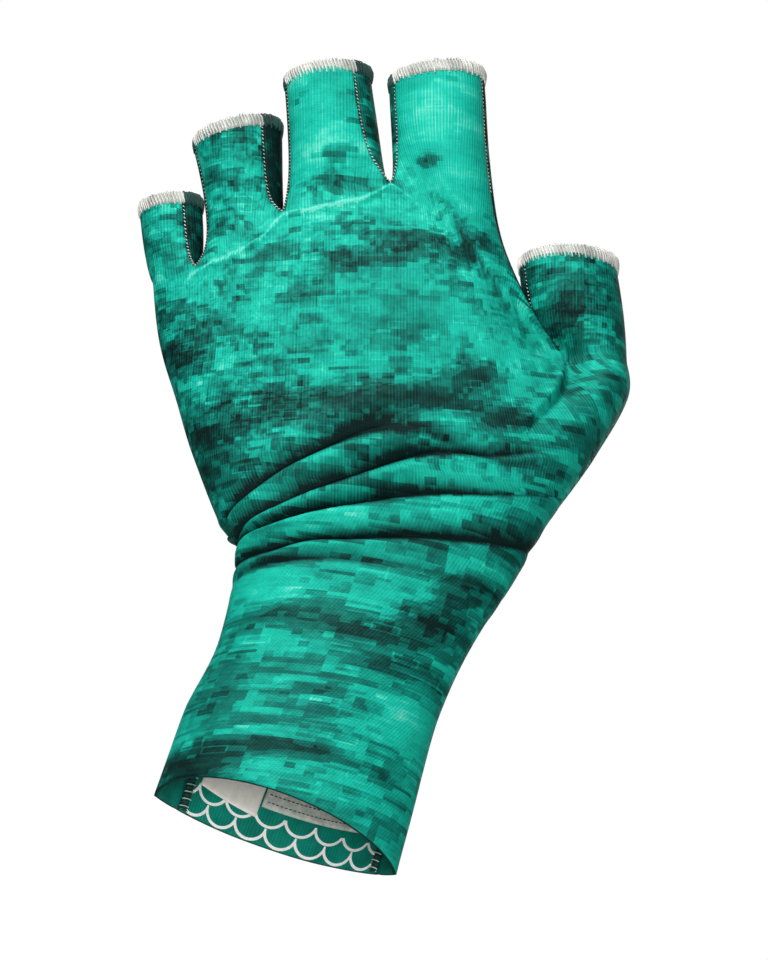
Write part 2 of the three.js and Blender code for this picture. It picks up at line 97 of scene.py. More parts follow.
elevation = np.radians(VIEW_ELEVATION)
camera = link_object("camera", bpy.data.cameras.new("camera"))
camera.data.type = "ORTHO"
camera.data.ortho_scale = VIEW_HEIGHT * MM
away = Vector((0, -np.cos(elevation), np.sin(elevation)))
aim(camera, Vector(VIEW_CENTRE) + CAMERA_DISTANCE * away, VIEW_CENTRE)
bpy.context.scene.camera = camera

for name, place, size, power in [
    ("key_light", (-160, -640, 960), 400, 11.6),
    ("front_light", (40, -1000, -320), 400, 6.0),
    ("back_light", (150, 900, 500), 900, 4.0),
]:
    light = link_object(name, bpy.data.lights.new(name, "AREA"))
    light.data.shape = "DISK"
    light.data.size = size * MM
    light.data.energy = power
    aim(light, place, VIEW_CENTRE)

world = bpy.data.worlds.new("white_studio")
bpy.context.scene.world = world
world.use_nodes = True
sky = world.node_tree
sky.nodes.clear()
lighting = add_node(sky, "Background", {"Color": (0.93, 0.97, 1, 1), "Strength": 0.12}).outputs[0]
seen = add_node(sky, "Background", {"Color": (1, 1, 1, 1), "Strength": 1.0}).outputs[0]
to_camera = add_node(sky, "LightPath").outputs["Is Camera Ray"]
add_node(sky, "OutputWorld", {0: add_node(sky, "MixShader", {0: to_camera, 1: lighting, 2: seen}).outputs[0]})
bpy.context.scene.view_settings.view_transform = "Standard"

floor_mesh = bpy.data.meshes.new("studio_floor")
floor_corners = np.array([(-1, -1, 0), (1, -1, 0), (1, 1, 0), (-1, 1, 0)]) * FLOOR_REACH + (0, 0, FLOOR_HEIGHT)
floor_mesh.from_pydata((floor_corners * MM).tolist(), [], [(0, 1, 2, 3)])
floor = link_object("studio_floor", floor_mesh)
floor_material, tree, shader = principled("pale_floor")
shader["Base Color"].default_value = srgb(236, 236, 234)
shader["Roughness"].default_value = 0.8
shader["Emission Color"].default_value = srgb(250, 250, 249)
link(add_node(tree, "LightPath").outputs["Is Camera Ray"], shader["Emission Strength"])  # gives no light
floor_mesh.materials.append(floor_material)


# Back panel: printed stretch knit of polyester and elastane over the back of the hand, the cuff and the backs
# of the fingers, cut in one and reaching a little round to the palm's side. The whole skin of the glove is
# worked out here, as the source of the part does it, and is then cut along the seams into its panels.
CUFF_LENGTH = 76
PALM_LENGTH = 110
MOUTH_WIDTH, MOUTH_DEPTH = 71, 46
MOUTH_DROOP, DROOP_ENDS = 4.4, 0.3
WRIST_WIDTH, WRIST_DEPTH = 72, 40
HAND_SPAN = 132
KNUCKLE_WIDTH = 97
PALM_DEPTH = 36
MOUND_ON_PALM, MOUND_ON_BACK = 9, 4
MOUND_U, MOUND_SPREAD, MOUND_STARTS, MOUND_RUN = 0.78, 0.27, 1.15, 0.45  # the mound at the thumb's root
FINGER_LENGTH = 35.5
FINGER_DEPTH = 0.94
CLOTH = 0.95

SECTIONS = np.array([
    # along, half width, middle, lean, back reach, palm reach, seam at little finger, seam at thumb, lens
    (0, 0.5 * MOUTH_WIDTH, 0, 19.4, 0.5 * MOUTH_DEPTH, 0.5 * MOUTH_DEPTH, 0, 0, 1.3),
    (0.26, 0.483 * MOUTH_WIDTH, 0.089, 19.3, 0.48 * MOUTH_DEPTH, 0.48 * MOUTH_DEPTH, 0, 0, 1.2),
    (0.564, 0.455 * MOUTH_WIDTH, 0.197, 19, 0.51 * WRIST_DEPTH, 0.51 * WRIST_DEPTH, 0, 0, 1.1),
    (0.923, 0.5 * WRIST_WIDTH, 0.311, 18, 0.48 * WRIST_DEPTH, 0.48 * WRIST_DEPTH, 0, 0.03, 1),
    (1.068, 0.59 * WRIST_WIDTH, 0.346, 8.5, 0.56 * PALM_DEPTH, 0.56 * PALM_DEPTH, 0.02, 0.05, 1),
    (1.24, 0.3875 * HAND_SPAN, 0.369, 7.7, 0.57 * PALM_DEPTH, 0.6 * PALM_DEPTH, 0.04, 0.11, 0.95),
    (1.39, 0.4425 * HAND_SPAN, 0.403, 6.8, 0.56 * PALM_DEPTH, 0.6 * PALM_DEPTH, 0.06, 0.14, 0.92),
    (1.545, 0.4915 * HAND_SPAN, 0.431, 6, 0.54 * PALM_DEPTH, 0.52 * PALM_DEPTH, 0.09, 0.18, 0.9),
    (1.673, 0.5 * HAND_SPAN, 0.416, 9.3, 0.48 * PALM_DEPTH, 0.42 * PALM_DEPTH, 0.1, 0.2, 0.9),
]).T
ALONG, HALF_WIDTH, MIDDLE, LEAN, BACK_REACH, PALM_REACH, LITTLE_SEAM, THUMB_SEAM, LENS = SECTIONS
FINGER_ROW = ALONG[-1]
BEND_STARTS = 1.05


def table(names, *rows):
    """Rows of values, each as a dictionary by the columns' names."""
    return [dict(zip(names.split(), row)) for row in rows]


FORKS = table(
    "name u over rise back palm spread",
    ("little_ring", -0.61, 0.119, 0.787, -0.17, 0.38, 0.1),
    ("ring_middle", -0.3, 0.367, 0.926, -0.22, 0.34, 0.1),
    ("middle_index", 0, 0.673, 1, -0.24, 0.32, 0.11),
    ("index_thumb", 0.48, 1.147, 0.575, 0.06, 0.22, 0.14),
)
FORK_RUN = 0.3
FINGERS = table(
    "name wide root long shift firm root_depth tip_depth lean roll tilt left right columns tone grime",
    ("little", 0.179, 0.172, 0.56, 0.005, 4, 0.15, 0.12, -3.7, -22, 4, -90, 45, 20, 0.04, 1.0),
    ("ring", 0.25, 0.19, 0.885, 0.034, 5, 0.07, 0.05, -6.4, -17, 10, -66, 50, 24, 0.08, 1.0),
    ("middle", 0.246, 0.262, 1, 0.011, 3.5, -0.02, -0.02, -5.4, -13, 4, -67, 50, 24, -0.06, 0.35),
    ("index", 0.27, 0.28, 0.875, -0.083, 5, -0.02, -0.02, -3.9, -4, 5, -62, 76, 36, -0.02, 0.15),
    ("thumb", 0.278, 0.292, 0.72, -0.035, 3.5, 0.2, 0.17, -7, 12, 0, -76, 90, 42, 0.12, 0.8),
)
LITTLE_WRAP, THUMB_WRAP = 10, 14  # columns of the back panel on the palm's side
STRIP_COLUMNS = 16
FINGER_ROWS = 36
CROWDING = 1.6

# Creases at the wrist, from the cuff upwards: heights along the hand at nine places round it, from the little
# finger's side to the thumb's, and how deep each is pressed in there.
CREASE_PLACES = np.linspace(-1, 1, 9)
CREASES = np.array([
    [(0.76, 0.79, 0.83, 0.88, 0.92, 0.95, 0.97, 0.985, 1.0), (0.3, 0.8, 1.4, 1.4, 1.2, 1.0, 0.8, 0.7, 0.5)],
    [(0.83, 0.855, 0.893, 0.965, 1.013, 1.043, 1.064, 1.082, 1.1),
     (1.4, 2.6, 3.4, 3.8, 3.8, 3.4, 2.6, 1.9, 1.2)],
    [(0.885, 0.95, 1.012, 1.068, 1.108, 1.15, 1.195, 1.225, 1.25),
     (2.8, 4.4, 5.0, 4.8, 4.4, 3.2, 1.6, 0.5, 0)],
    [(0.93, 1.0, 1.06, 1.118, 1.17, 1.245, 1.32, 1.36, 1.38), (2.2, 3.4, 4.6, 5.0, 4.6, 3.2, 1.3, 0, 0)],
    [(0.985, 1.065, 1.128, 1.19, 1.238, 1.265, 1.28, 1.29, 1.3), (1.2, 2.6, 3.6, 3.6, 2.6, 1.4, 0.4, 0, 0)],
])
CREASE_ABOVE, CREASE_BELOW = 2.1, 1.1  # how far a crease's two walls reach
CREASE_ROLLS = ((0.4, -2.6, 1.7), (0.42, 4.6, 2.6))  # beside a crease: share of its depth, place, width
CREASE_HANGS, HANG_STARTS, HANG_REACH = 0.4, 0.9, 2.4  # how far the roll above a crease hangs down over it
CREASE_SHADE_ABOVE, CREASE_SHADE_BELOW = 2.0, 1.1
CREASE_AT_SEAM, CREASE_ON_PALM = 0.55, 0.6
CUFF_ENDS_AT = 2  # the crease at which the cuff's part of the print ends
FAN = 0.6
ROW_ENDS = np.array([
    (0, 0), (0.13, 0.13), (0.26, 0.27), (0.4, 0.43), (0.54, 0.61), (0.66, 0.78), (0.76, 0.93), (0.88, 1.09),
    (0.94, 1.24), (1, 1.31), (1.09, 1.36), (1.18, 1.41), (1.28, 1.46), (1.38, 1.51), (1.48, 1.56), (1.58, 1.62),
    (FINGER_ROW, FINGER_ROW),
])
ROW_COUNTS = [6, 6, 7, 9, 10, 12, 18, 18, 16, 15, 14, 12, 10, 10, 12, 14]


def mix(a, b, t):
    """a where t is 0 and b where it is 1, and a straight line between them."""
    return a + (b - a) * t


def smooth(t):
    """Rises from 0 to 1 as t does, level at both ends: 3 t^2 - 2 t^3."""
    t = np.clip(t, 0, 1)
    return t * t * (3 - 2 * t)


def bell(x, width):
    """1 where x is 0, falling away on both sides as exp(-(x / width)^2)."""
    return np.exp(-((x / width) ** 2))


def unit(vectors):
    """Vectors brought to a length of 1."""
    return vectors / np.maximum(np.linalg.norm(vectors, axis=-1, keepdims=True), 1e-9)


def track(places, values, x):
    """Smooth curve through values at places: cubic Hermite, each slope being that between the two neighbours."""
    last = len(places) - 1
    below, above = np.maximum(0, np.arange(last + 1) - 1), np.minimum(last, np.arange(last + 1) + 1)
    slope = (values[above] - values[below]) / (places[above] - places[below])
    i = np.searchsorted(places[1:-1], x)
    step = places[i + 1] - places[i]
    t = np.clip((x - places[i]) / step, 0, 1)
    return (values[i] * (1 + 2 * t) * (1 - t) ** 2 + values[i + 1] * t * t * (3 - 2 * t)
            + step * (slope[i] * t * (1 - t) ** 2 - slope[i + 1] * t * t * (1 - t)))


def height_at(along):
    """Millimetres up the glove: along is 0 to 1 over the cuff, and goes on over the palm."""
    return np.where(along < 1, along * CUFF_LENGTH, CUFF_LENGTH + (along - 1) * PALM_LENGTH)


def straight_point(u, along):
    """X and Z of a level line round the hand: the section's middle plus sin(90 u) of its half width, leaning."""
    side = np.sin(u * np.pi / 2) * track(ALONG, HALF_WIDTH, along)
    lean = np.radians(track(ALONG, LEAN, along))
    droop = MOUTH_DROOP * (1 - np.cos(u * np.pi / 2)) * np.maximum(0, 1 - along / DROOP_ENDS)
    x = track(ALONG, MIDDLE, along) * CUFF_LENGTH + side * np.cos(lean)
    return x, height_at(along) - side * np.sin(lean) - droop


little_side_x, little_side_z = straight_point(np.array(-1.0), FINGER_ROW)
thumb_side_x, thumb_side_z = straight_point(np.array(1.0), FINGER_ROW)
fork_u = np.array([fork["u"] for fork in FORKS])
fork_x = little_side_x + np.array([fork["over"] for fork in FORKS]) * KNUCKLE_WIDTH
fork_z = CUFF_LENGTH + np.array([fork["rise"] for fork in FORKS]) * PALM_LENGTH
straight_x, straight_z = straight_point(fork_u, np.full(len(FORKS), FINGER_ROW))
shift_u = np.concatenate([[-1], fork_u, [1]])
shift_x = np.concatenate([[0], fork_x - straight_x, [0]])
shift_z = np.concatenate([[0], fork_z - straight_z, [0]])


def row_shift(u):
    """How far the forks' line lies from the straight finger row, eased from each fork to the next."""
    i = np.searchsorted(shift_u[1:-1], u)
    t = smooth((u - shift_u[i]) / (shift_u[i + 1] - shift_u[i]))
    return mix(shift_x[i], shift_x[i + 1], t), mix(shift_z[i], shift_z[i + 1], t)


def full_depth(side, u, along):
    """Y before forks and creases: the seams' depth, plus reach times cos(90 u)^lens, plus the thumb's mound."""
    cosine, sine = np.maximum(0, np.cos(u * np.pi / 2)), np.sin(u * np.pi / 2)
    seam = mix(track(ALONG, LITTLE_SEAM, along), track(ALONG, THUMB_SEAM, along), (1 + sine) / 2)
    reach = track(ALONG, BACK_REACH if side < 0 else PALM_REACH, along)
    mound = bell(u - MOUND_U, MOUND_SPREAD) * cosine ** 0.5 * smooth((along - MOUND_STARTS) / MOUND_RUN)
    swell = MOUND_ON_BACK if side < 0 else MOUND_ON_PALM
    return seam * PALM_DEPTH + side * (reach * cosine ** track(ALONG, LENS, along) + swell * mound)


def fork_dent(side, u, along):
    """The dents under the forks: a bell across and a ramp up to the finger row, as deep as the fork lies."""
    ramp_up = smooth((along - FINGER_ROW) / FORK_RUN + 1) ** 1.5
    dent = 0
    for fork in FORKS:
        depth = (fork["back"] if side < 0 else fork["palm"]) * PALM_DEPTH
        depth = depth - full_depth(side, np.array(fork["u"]), np.array(FINGER_ROW))
        dent = dent + depth * bell(u - fork["u"], fork["spread"]) * ramp_up
    return dent


def creases_near(u, along):
    """For each crease, how far above it a point lies and how deep it is pressed in there."""
    for heights, deep in CREASES:
        yield height_at(along) - height_at(track(CREASE_PLACES, heights, u)), track(CREASE_PLACES, deep, u)


def crease_relief(u, along):
    """How far the creases press the cloth in and drag it down: walls that die away, and rolls beside them."""
    depth, hang = 0, 0
    for off, deep in creases_near(u, along):
        walls = np.exp(-np.abs(off) / np.where(off > 0, CREASE_ABOVE, CREASE_BELOW))
        rolls = sum(share * bell(off - place, width) for share, place, width in CREASE_ROLLS)
        depth = depth + deep * (walls - rolls)
        hang = hang + deep * CREASE_HANGS * smooth(off / HANG_STARTS) * np.exp(-np.maximum(off, 0) / HANG_REACH)
    share = mix(CREASE_AT_SEAM, 1, np.cos(u * np.pi / 2))
    return depth * share, hang * share


def crease_shade_mask(u, along):
    """1 at the bottom of the creases and 0 beside them, where the print is darkened as painted shade."""
    near = [bell(off, np.where(off > 0, CREASE_SHADE_ABOVE, CREASE_SHADE_BELOW)) * np.clip(deep / 3, 0, 1)
            for off, deep in creases_near(u, along)]
    return np.max(near, axis=0)


def hand_point(side, u, along):
    """A point of the hand: side is -1 on the back and 1 on the palm, u runs round it and along up it."""
    x, z = straight_point(u, along)
    over, up = row_shift(u)
    bend = smooth((along - BEND_STARTS) / (FINGER_ROW - BEND_STARTS))
    cosine = np.cos(u * np.pi / 2)
    inwards, hang = crease_relief(u, along)
    if side > 0:
        inwards = inwards * mix(1, CREASE_ON_PALM, cosine)
    y = full_depth(side, u, along) + fork_dent(side, u, along) - side * inwards * cosine
    return np.stack([x + bend * over - inwards * np.sin(u * np.pi / 2), y, z + bend * up - hang], axis=-1)


end_x = [little_side_x, *fork_x, thumb_side_x]
end_z = [little_side_z, *fork_z, thumb_side_z]
for i, finger in enumerate(FINGERS):
    finger["from"], finger["to"] = shift_u[i], shift_u[i + 1]
    finger["x"] = (end_x[i] + end_x[i + 1]) / 2 + finger["shift"] * KNUCKLE_WIDTH
    finger["z"] = end_z[i] if finger["name"] == "index" else (end_z[i] + end_z[i + 1]) / 2
    finger["length"] = finger["long"] * FINGER_LENGTH


def tube_point(finger, angle, t):
    """A point of a finger's tube, an oval: the angle is 0 on its back, and t runs from its root to its end."""
    half = mix(finger["root"], finger["wide"], t) * KNUCKLE_WIDTH / 2
    roll = np.radians(finger["roll"])
    across, up = half * np.sin(angle), half * FINGER_DEPTH * np.cos(angle)
    x = across * np.cos(roll) + up * np.sin(roll)
    depth = mix(finger["root_depth"], finger["tip_depth"], t) * PALM_DEPTH
    y = depth + across * np.sin(roll) - up * np.cos(roll)
    over = np.sin(np.radians(finger["lean"])) * finger["length"] * t
    z = finger["z"] + finger["length"] * t + np.tan(np.radians(finger["tilt"])) * x * t
    return np.stack([finger["x"] + over + x, y, z], axis=-1)


def settled(finger, angle, t, root):
    """The tube joined to its root: their difference fades as (1 - t)^firm, and its upward part as (1 - t)^2."""
    left = np.maximum(0, 1 - t)
    sideways = left ** finger["firm"]
    fade = np.stack([sideways, sideways, left ** 2], axis=-1)
    return tube_point(finger, angle, t) + (root - tube_point(finger, angle, 0 * t)) * fade


def lengths(points, axis):
    """Distance run along one axis of a grid of points, from 0."""
    run = np.cumsum(np.linalg.norm(np.diff(points, axis=axis), axis=-1), axis=axis)
    return np.concatenate([np.zeros_like(np.take(run, [0], axis=axis)), run], axis=axis)


PALM_SEAM_U, PALM_SEAM_DRAWN = 0.81, 0.62  # where the palm's seams lie on the hand, and drawn in at the mouth


def palm_u(u, along):
    """Towards the mouth the palm side's columns draw in, in two straight shares, so its seams lie further in."""
    out = np.abs(u)
    beyond = mix(PALM_SEAM_DRAWN, 1, (out - PALM_SEAM_U) / (1 - PALM_SEAM_U))
    drawn = np.where(out < PALM_SEAM_U, out * PALM_SEAM_DRAWN / PALM_SEAM_U, beyond)
    return np.sign(u) * mix(drawn, out, smooth(along / 0.9))


hand_u = np.unique(np.concatenate(
    [np.linspace(finger["from"], finger["to"], finger["columns"] + 1) for finger in FINGERS]).round(9))
row_steps = np.concatenate([i + np.arange(n) / n for i, n in enumerate(ROW_COUNTS)] + [[len(ROW_COUNTS)]])
row_start, row_end = (np.interp(row_steps, np.arange(len(ROW_ENDS)), ROW_ENDS[:, k]) for k in (0, 1))
hand_along = mix(row_start[:, None], row_end[:, None], ((hand_u[None] + 1) / 2) ** FAN)
tube_t = np.append((np.arange(FINGER_ROWS + 1) / FINGER_ROWS) ** CROWDING, 1.04)  # the last row is in the edging
first_column = np.searchsorted(hand_u, [finger["from"] - 1e-6 for finger in FINGERS])


# What stands proud of that surface: the ridge that tension draws from fork to fork, the lip of cloth that
# laps over the thumb's root, and the soft unevenness of thin cloth.
RIDGE_U = np.array([-0.7, -0.637, -0.55, -0.44, -0.37, -0.3, -0.18, -0.08, 0, 0.05, 0.12])
RIDGE_ALONG = np.array([1.62, 1.652, 1.657, 1.632, 1.628, 1.665, 1.653, 1.64, 1.668, 1.665, 1.63])
RIDGE_HIGH = np.array([0.0, 0.9, 1.0, 0.9, 0.9, 0.7, 1.0, 1.0, 0.8, 0.4, 0.0])  # millimetres
LIP_ALONG = np.array([1.3, 1.42, 1.5, 1.62, FINGER_ROW])
LIP_U = np.array([0.43, 0.463, 0.488, 0.503, 0.497])
LIP_RUN = 73  # millimetres round the hand for each u, at the lip
LIP_UP, LIP_DOWN, LIP_REACH = 1.7, -2.4, 8  # its height, the drop beyond it, and how far both reach
WAVES, SHORTEST_WAVE, LONGEST_WAVE = 14, 17, 46
wave_random = np.random.default_rng(11)
wave_ways = unit(wave_random.normal(size=(WAVES, 3)))
wave_ways *= 2 * np.pi / wave_random.uniform(SHORTEST_WAVE, LONGEST_WAVE, (WAVES, 1))
wave_starts = wave_random.uniform(0, 2 * np.pi, WAVES)


def cloth_waves(points):
    """Soft unevenness: the mean of plane waves of several lengths, in random directions."""
    return np.sin(points @ wave_ways.T + wave_starts).mean(axis=-1)


def ridge_distance(u, along):
    """Millimetres up the hand from the ridge's line."""
    return (along - np.interp(u, RIDGE_U, RIDGE_ALONG)) * PALM_LENGTH


def past_lip(u, along):
    """Millimetres round the hand from the lip's edge, towards the thumb."""
    return (u - np.interp(along, LIP_ALONG, LIP_U)) * LIP_RUN


def relief(side, u, along):
    """Height of the ridge and the lip, outwards: the ridge is a bell with a dip below it, the lip a soft step."""
    if side > 0:
        return 0 * u * along
    off, over = ridge_distance(u, along), past_lip(u, along)
    ridge = np.interp(u, RIDGE_U, RIDGE_HIGH, 0, 0) * (0.5 * bell(off, 0.7) - 0.6 * bell(off + 1.9, 1.3))
    before = LIP_UP * np.exp(np.minimum(over, 0) / LIP_REACH)
    beyond = LIP_DOWN * np.exp(-np.maximum(over, 0) / LIP_REACH)
    lip = mix(before, beyond, smooth(over / 1.4 + 0.5))
    return ridge + lip * smooth((along - 1.32) / 0.2)


# Print: how dark it is, from 0 to 1, as soft spots: X, Z, half width, half height and darkness added. Each
# finger adds a darkness of its own, and the cloth just beyond the lip darkens to the thumb's tone: partly the
# thumb's darker print, partly painted shadow under the lip.
TONE_BASE = 0.47
TONE_SPOTS = [
    (3, 117, 13, 4.6, 0.32), (22, 117, 13, 5.4, 0.4), (39, 120, 12, 4.6, 0.42), (54, 126, 9, 3.8, 0.36),
    (20, 109, 15, 3.2, 0.3), (63, 114, 10, 5.5, 0.4), (71, 101, 8, 8, 0.3), (67, 82, 7, 7, 0.3),
    (20, 162, 17, 3.2, 0.26), (41, 167, 15, 4.2, 0.42), (58, 164, 8, 4.2, 0.36), (-25, 140, 10, 11, 0.3),
    # (87, 121, ...) darkens the cloth just beyond the lip: the thumb's darker print and painted shadow under the
    # lip
    (-15, 106, 12, 16, 0.32), (24, 142, 26, 8, 0.08), (59, 140, 10, 9, -0.02), (79, 148, 6, 8, 0.3), (87, 121, 8, 17, 0.24),
    (46, 200, 15, 22, -0.3),
    (43, 191, 5, 3.4, 0.46), (9, 200, 9, 18, -0.16), (16, 186, 4, 7, 0.2), (-2, 63, 9.5, 6.5, -0.24),
    (9, 54, 11, 3.6, 0.32), (26, 49, 13, 4.6, 0.44), (43, 51, 9.5, 6.5, 0.42), (52, 63, 8.5, 5.5, 0.34),
    (35, 38, 13, 3.6, 0.3), (-14, 38, 7, 11, 0.2), (11, 31, 15, 2.6, 0.22), (38, 24, 9.5, 8, -0.26),
    (-21, 12, 14, 7, 0.44), (3, 13, 15, 3.6, 0.34), (31, 9, 8, 4.5, 0.1), (8, 24, 16, 3, 0.2),
]
CALM_SPOT = (30, 143, 27, 10)  # where on the back the pixels fade, given like the others


def spot(points, x, z, wide, high):
    """A soft spot: a bell in X times a bell in Z."""
    return bell(points[..., 0] - x, wide) * bell(points[..., 2] - z, high)


def print_tone(points):
    """Darkness of the print: the base plus each spot."""
    return TONE_BASE + sum(dark * spot(points, *place) for *place, dark in TONE_SPOTS)


def hand_tone(u, along, points):
    """The print's tone, turning to the thumb's beyond the lip: the thumb's darker print and painted shadow under
    the lip.
    """
    thumb_tone_and_lip_shade = smooth(past_lip(u, along) / 5 + 0.3) * smooth((along - 1.15) / 0.25)
    return np.clip(mix(print_tone(points), TONE_BASE + FINGERS[-1]["tone"], 0.85 * thumb_tone_and_lip_shade), 0, 1)


def hand_grime(u, along):
    """How much fine mottling clouds the print: most at the little finger's side and under the fingers."""
    left = smooth((0.1 - u) / 0.6) * smooth((along - 1.1) / 0.2)
    roots = smooth((along - 1.45) / 0.15)
    return 0.3 + 0.55 * np.maximum(left, 0.7 * roots)


SHADER_LAYERS = ("tone", "grime", "seam", "cuff", "crease", "ridge", "mouth", "calm")
LAYERS = ("relief", "soft") + SHADER_LAYERS
SEAM_NEAR, RIDGE_HIGHLIGHT_WIDTH = 0.8, 0.4  # millimetres: how far a seam's mark reaches, and how wide the painted highlight along the ridge is
SOFT_REACH, SOFT_FROM_FORK = 7, 4  # millimetres from the finger row, and from the forks and the fingers' sides
blocks = []


def add_block(panel, points, print_map, turned, cut=np.s_[:, :], **layers):
    """Keeps one grid of the skin, each array by row and column; turned swaps the way its faces point."""
    block = dict(panel=panel, points=points[cut], uv=np.stack(print_map, axis=-1)[cut], turned=turned)
    for layer in LAYERS:
        block[layer] = (np.zeros(points.shape[:2]) + layers.get(layer, 0))[cut]
    blocks.append(block)


def near_seam(distance):
    """1 on a seam and 0 a few millimetres away from it."""
    return bell(distance, SEAM_NEAR)


def softness(from_row, from_side):
    """How much the skin is eased where a finger joins the hand: most at the finger row, not at the seams."""
    return bell(from_row, SOFT_REACH) * (1 - bell(from_side, SOFT_FROM_FORK))


# The print's own map: across the cloth as the distance from the middle column, which stays upright on the
# hand and leans with the cuff, and up it as the height. So the print lies level, as it does on flat cloth.
PRINT_LEANS = 0.16
centre = np.searchsorted(hand_u, -1e-6)
on_hand = smooth((hand_along[:, [centre]] - 0.95) / 0.2)
hand = {}
for side in (-1, 1):
    u = np.broadcast_to(hand_u, hand_along.shape)
    u = u if side < 0 else palm_u(u, hand_along)
    points = hand_point(side, u, hand_along)
    across = lengths(points, 1)
    middle_x = points[:, [centre], 0]
    shift = np.cumsum(np.diff(middle_x, axis=0, prepend=middle_x[:1]) * on_hand, axis=0)
    height = points[..., 2] + crease_relief(u, hand_along)[1]
    ridge_high = np.interp(u, RIDGE_U, RIDGE_HIGH, 0, 0) if side < 0 else 0
    to_forks = [np.linalg.norm(points - hand_point(side, f, np.array(FINGER_ROW)), axis=-1) for f in fork_u]
    hand[side] = dict(
        points=points, across=across - across[:, [centre]] + shift,
        height=height + PRINT_LEANS * (1 - on_hand) * (points[..., 0] - middle_x), mouth=lengths(points, 0),
        cuff=(hand_along < track(CREASE_PLACES, CREASES[CUFF_ENDS_AT, 0], u)).astype(float),
        # ridge: where the painted highlight along the tension ridge lies
        crease=crease_shade_mask(u, hand_along), ridge=ridge_high * bell(ridge_distance(u, hand_along), RIDGE_HIGHLIGHT_WIDTH),
        seam=sum(map(near_seam, to_forks)), relief=relief(side, u, hand_along), calm=spot(points, *CALM_SPOT),
        tone=hand_tone(u, hand_along, points), grime=hand_grime(u, hand_along),
        soft=softness((FINGER_ROW - hand_along) * PALM_LENGTH, np.min(to_forks, axis=0))
        * smooth((1 - np.abs(u)) / 0.16))

last = len(hand_u) - 1
palm_first, palm_last = LITTLE_WRAP, last - THUMB_WRAP
for side in (-1, 1):
    h = hand[side]
    a = h["across"]
    if side < 0:
        parts = [("back_panel", 0, last, a)]
    else:
        back = hand[-1]["across"]
        to_seam = np.minimum(np.abs(a - a[:, [palm_first]]), np.abs(a - a[:, [palm_last]]))
        h["seam"] = np.maximum(h["seam"], near_seam(to_seam))
        parts = [
            ("back_panel", 0, palm_first, back[:, [0]] - (a - a[:, [0]])),
            ("palm_panel", palm_first, palm_last, a),
            ("back_panel", palm_last, last, back[:, [-1]] + (a[:, [-1]] - a)),
        ]
    for panel, first, stop, across in parts:
        add_block(panel, h["points"], (across, h["height"]), side > 0, np.s_[:, first:stop + 1],
                  **{layer: h[layer] for layer in LAYERS})

RELIEF_FADE = 0.3  # how far up a finger the hand's relief dies out, as a share of its length
for finger, first in zip(FINGERS, first_column):
    n = finger["columns"]
    facing = np.radians(np.linspace(finger["left"], finger["right"], n + 1))
    t = tube_t[:, None] + 0 * facing[None]
    own = np.s_[-1, first:first + n + 1]
    grime = mix(finger["grime"], hand[-1]["grime"][own], 1 - smooth(t / 0.4))
    middle = n // 2
    for side in (-1, 1):
        angle = facing if side < 0 else np.pi - facing
        points = settled(finger, np.broadcast_to(angle, t.shape), t, hand[side]["points"][own])
        around = lengths(points, 1)
        left = around[:, [-1]] - around
        tone = np.clip(print_tone(points) + finger["tone"], 0, 1)
        tone = mix(tone, hand[side]["tone"][own], 1 - smooth(t / 0.2))
        across = (hand[side]["across"][-1, first + middle] + points[:, [middle], 0] - points[0, middle, 0]
                  + around - around[:, [middle]])
        back = across if side < 0 else back
        seam = np.maximum(near_seam(around) * (finger["name"] != "little"),
                          near_seam(left) * (finger["name"] != "thumb"))
        wraps = [("back_panel" if side < 0 else "palm_panel", 0, n, across)]
        if side > 0 and finger["name"] == "little":
            seam = np.maximum(seam, near_seam(around - around[:, [LITTLE_WRAP]]))
            wraps = [("back_panel", 0, LITTLE_WRAP, back[:, [0]] - around),
                     ("palm_panel", LITTLE_WRAP, n, across)]
        if side > 0 and finger["name"] == "thumb":
            edge = n - THUMB_WRAP
            seam = np.maximum(seam, near_seam(around - around[:, [edge]]))
            wraps = [("palm_panel", 0, edge, across), ("back_panel", edge, n, back[:, [-1]] + left)]
        for panel, a, b, along_u in wraps:
            add_block(panel, points, (along_u, points[..., 2]), side > 0, np.s_[:, a:b + 1],
                      relief=hand[side]["relief"][own] * (1 - smooth(t / RELIEF_FADE)), tone=tone, grime=grime,
                      seam=seam, mouth=99, soft=softness(t * finger["length"], np.minimum(around, left)))

strip_w = np.concatenate([-tube_t[:0:-1], tube_t])[:, None]
strip_q = np.linspace(0, 1, STRIP_COLUMNS + 1)[None]
strip_blocks = {}
for i, fork in enumerate(FORKS):
    w, q = np.broadcast_arrays(strip_w, strip_q)
    column = np.searchsorted(hand_u, fork["u"] - 1e-6)
    root = mix(hand[-1]["points"][-1, column], hand[1]["points"][-1, column], q[..., None])
    grids = []
    for finger, edge in ((FINGERS[i], "right"), (FINGERS[i + 1], "left")):
        start = np.radians(finger[edge])
        angle = mix(start, np.sign(start) * np.pi - start, q)
        grids.append(settled(finger, angle, np.abs(w), root))
    points = np.where(w[..., None] < 0, *grids)
    around = lengths(points, 1)
    seam = near_seam(np.minimum(around, around[:, [-1]] - around))
    strip_blocks[fork["name"]] = len(blocks)
    add_block("side_strip_" + fork["name"] if i < 3 else "palm_panel", points, (around, points[..., 2]), True,
              relief=hand[-1]["relief"][-1, column] * (1 - q) * (1 - smooth(np.abs(w) / RELIEF_FADE)),
              tone=0.75, grime=0.6, seam=seam, mouth=99)

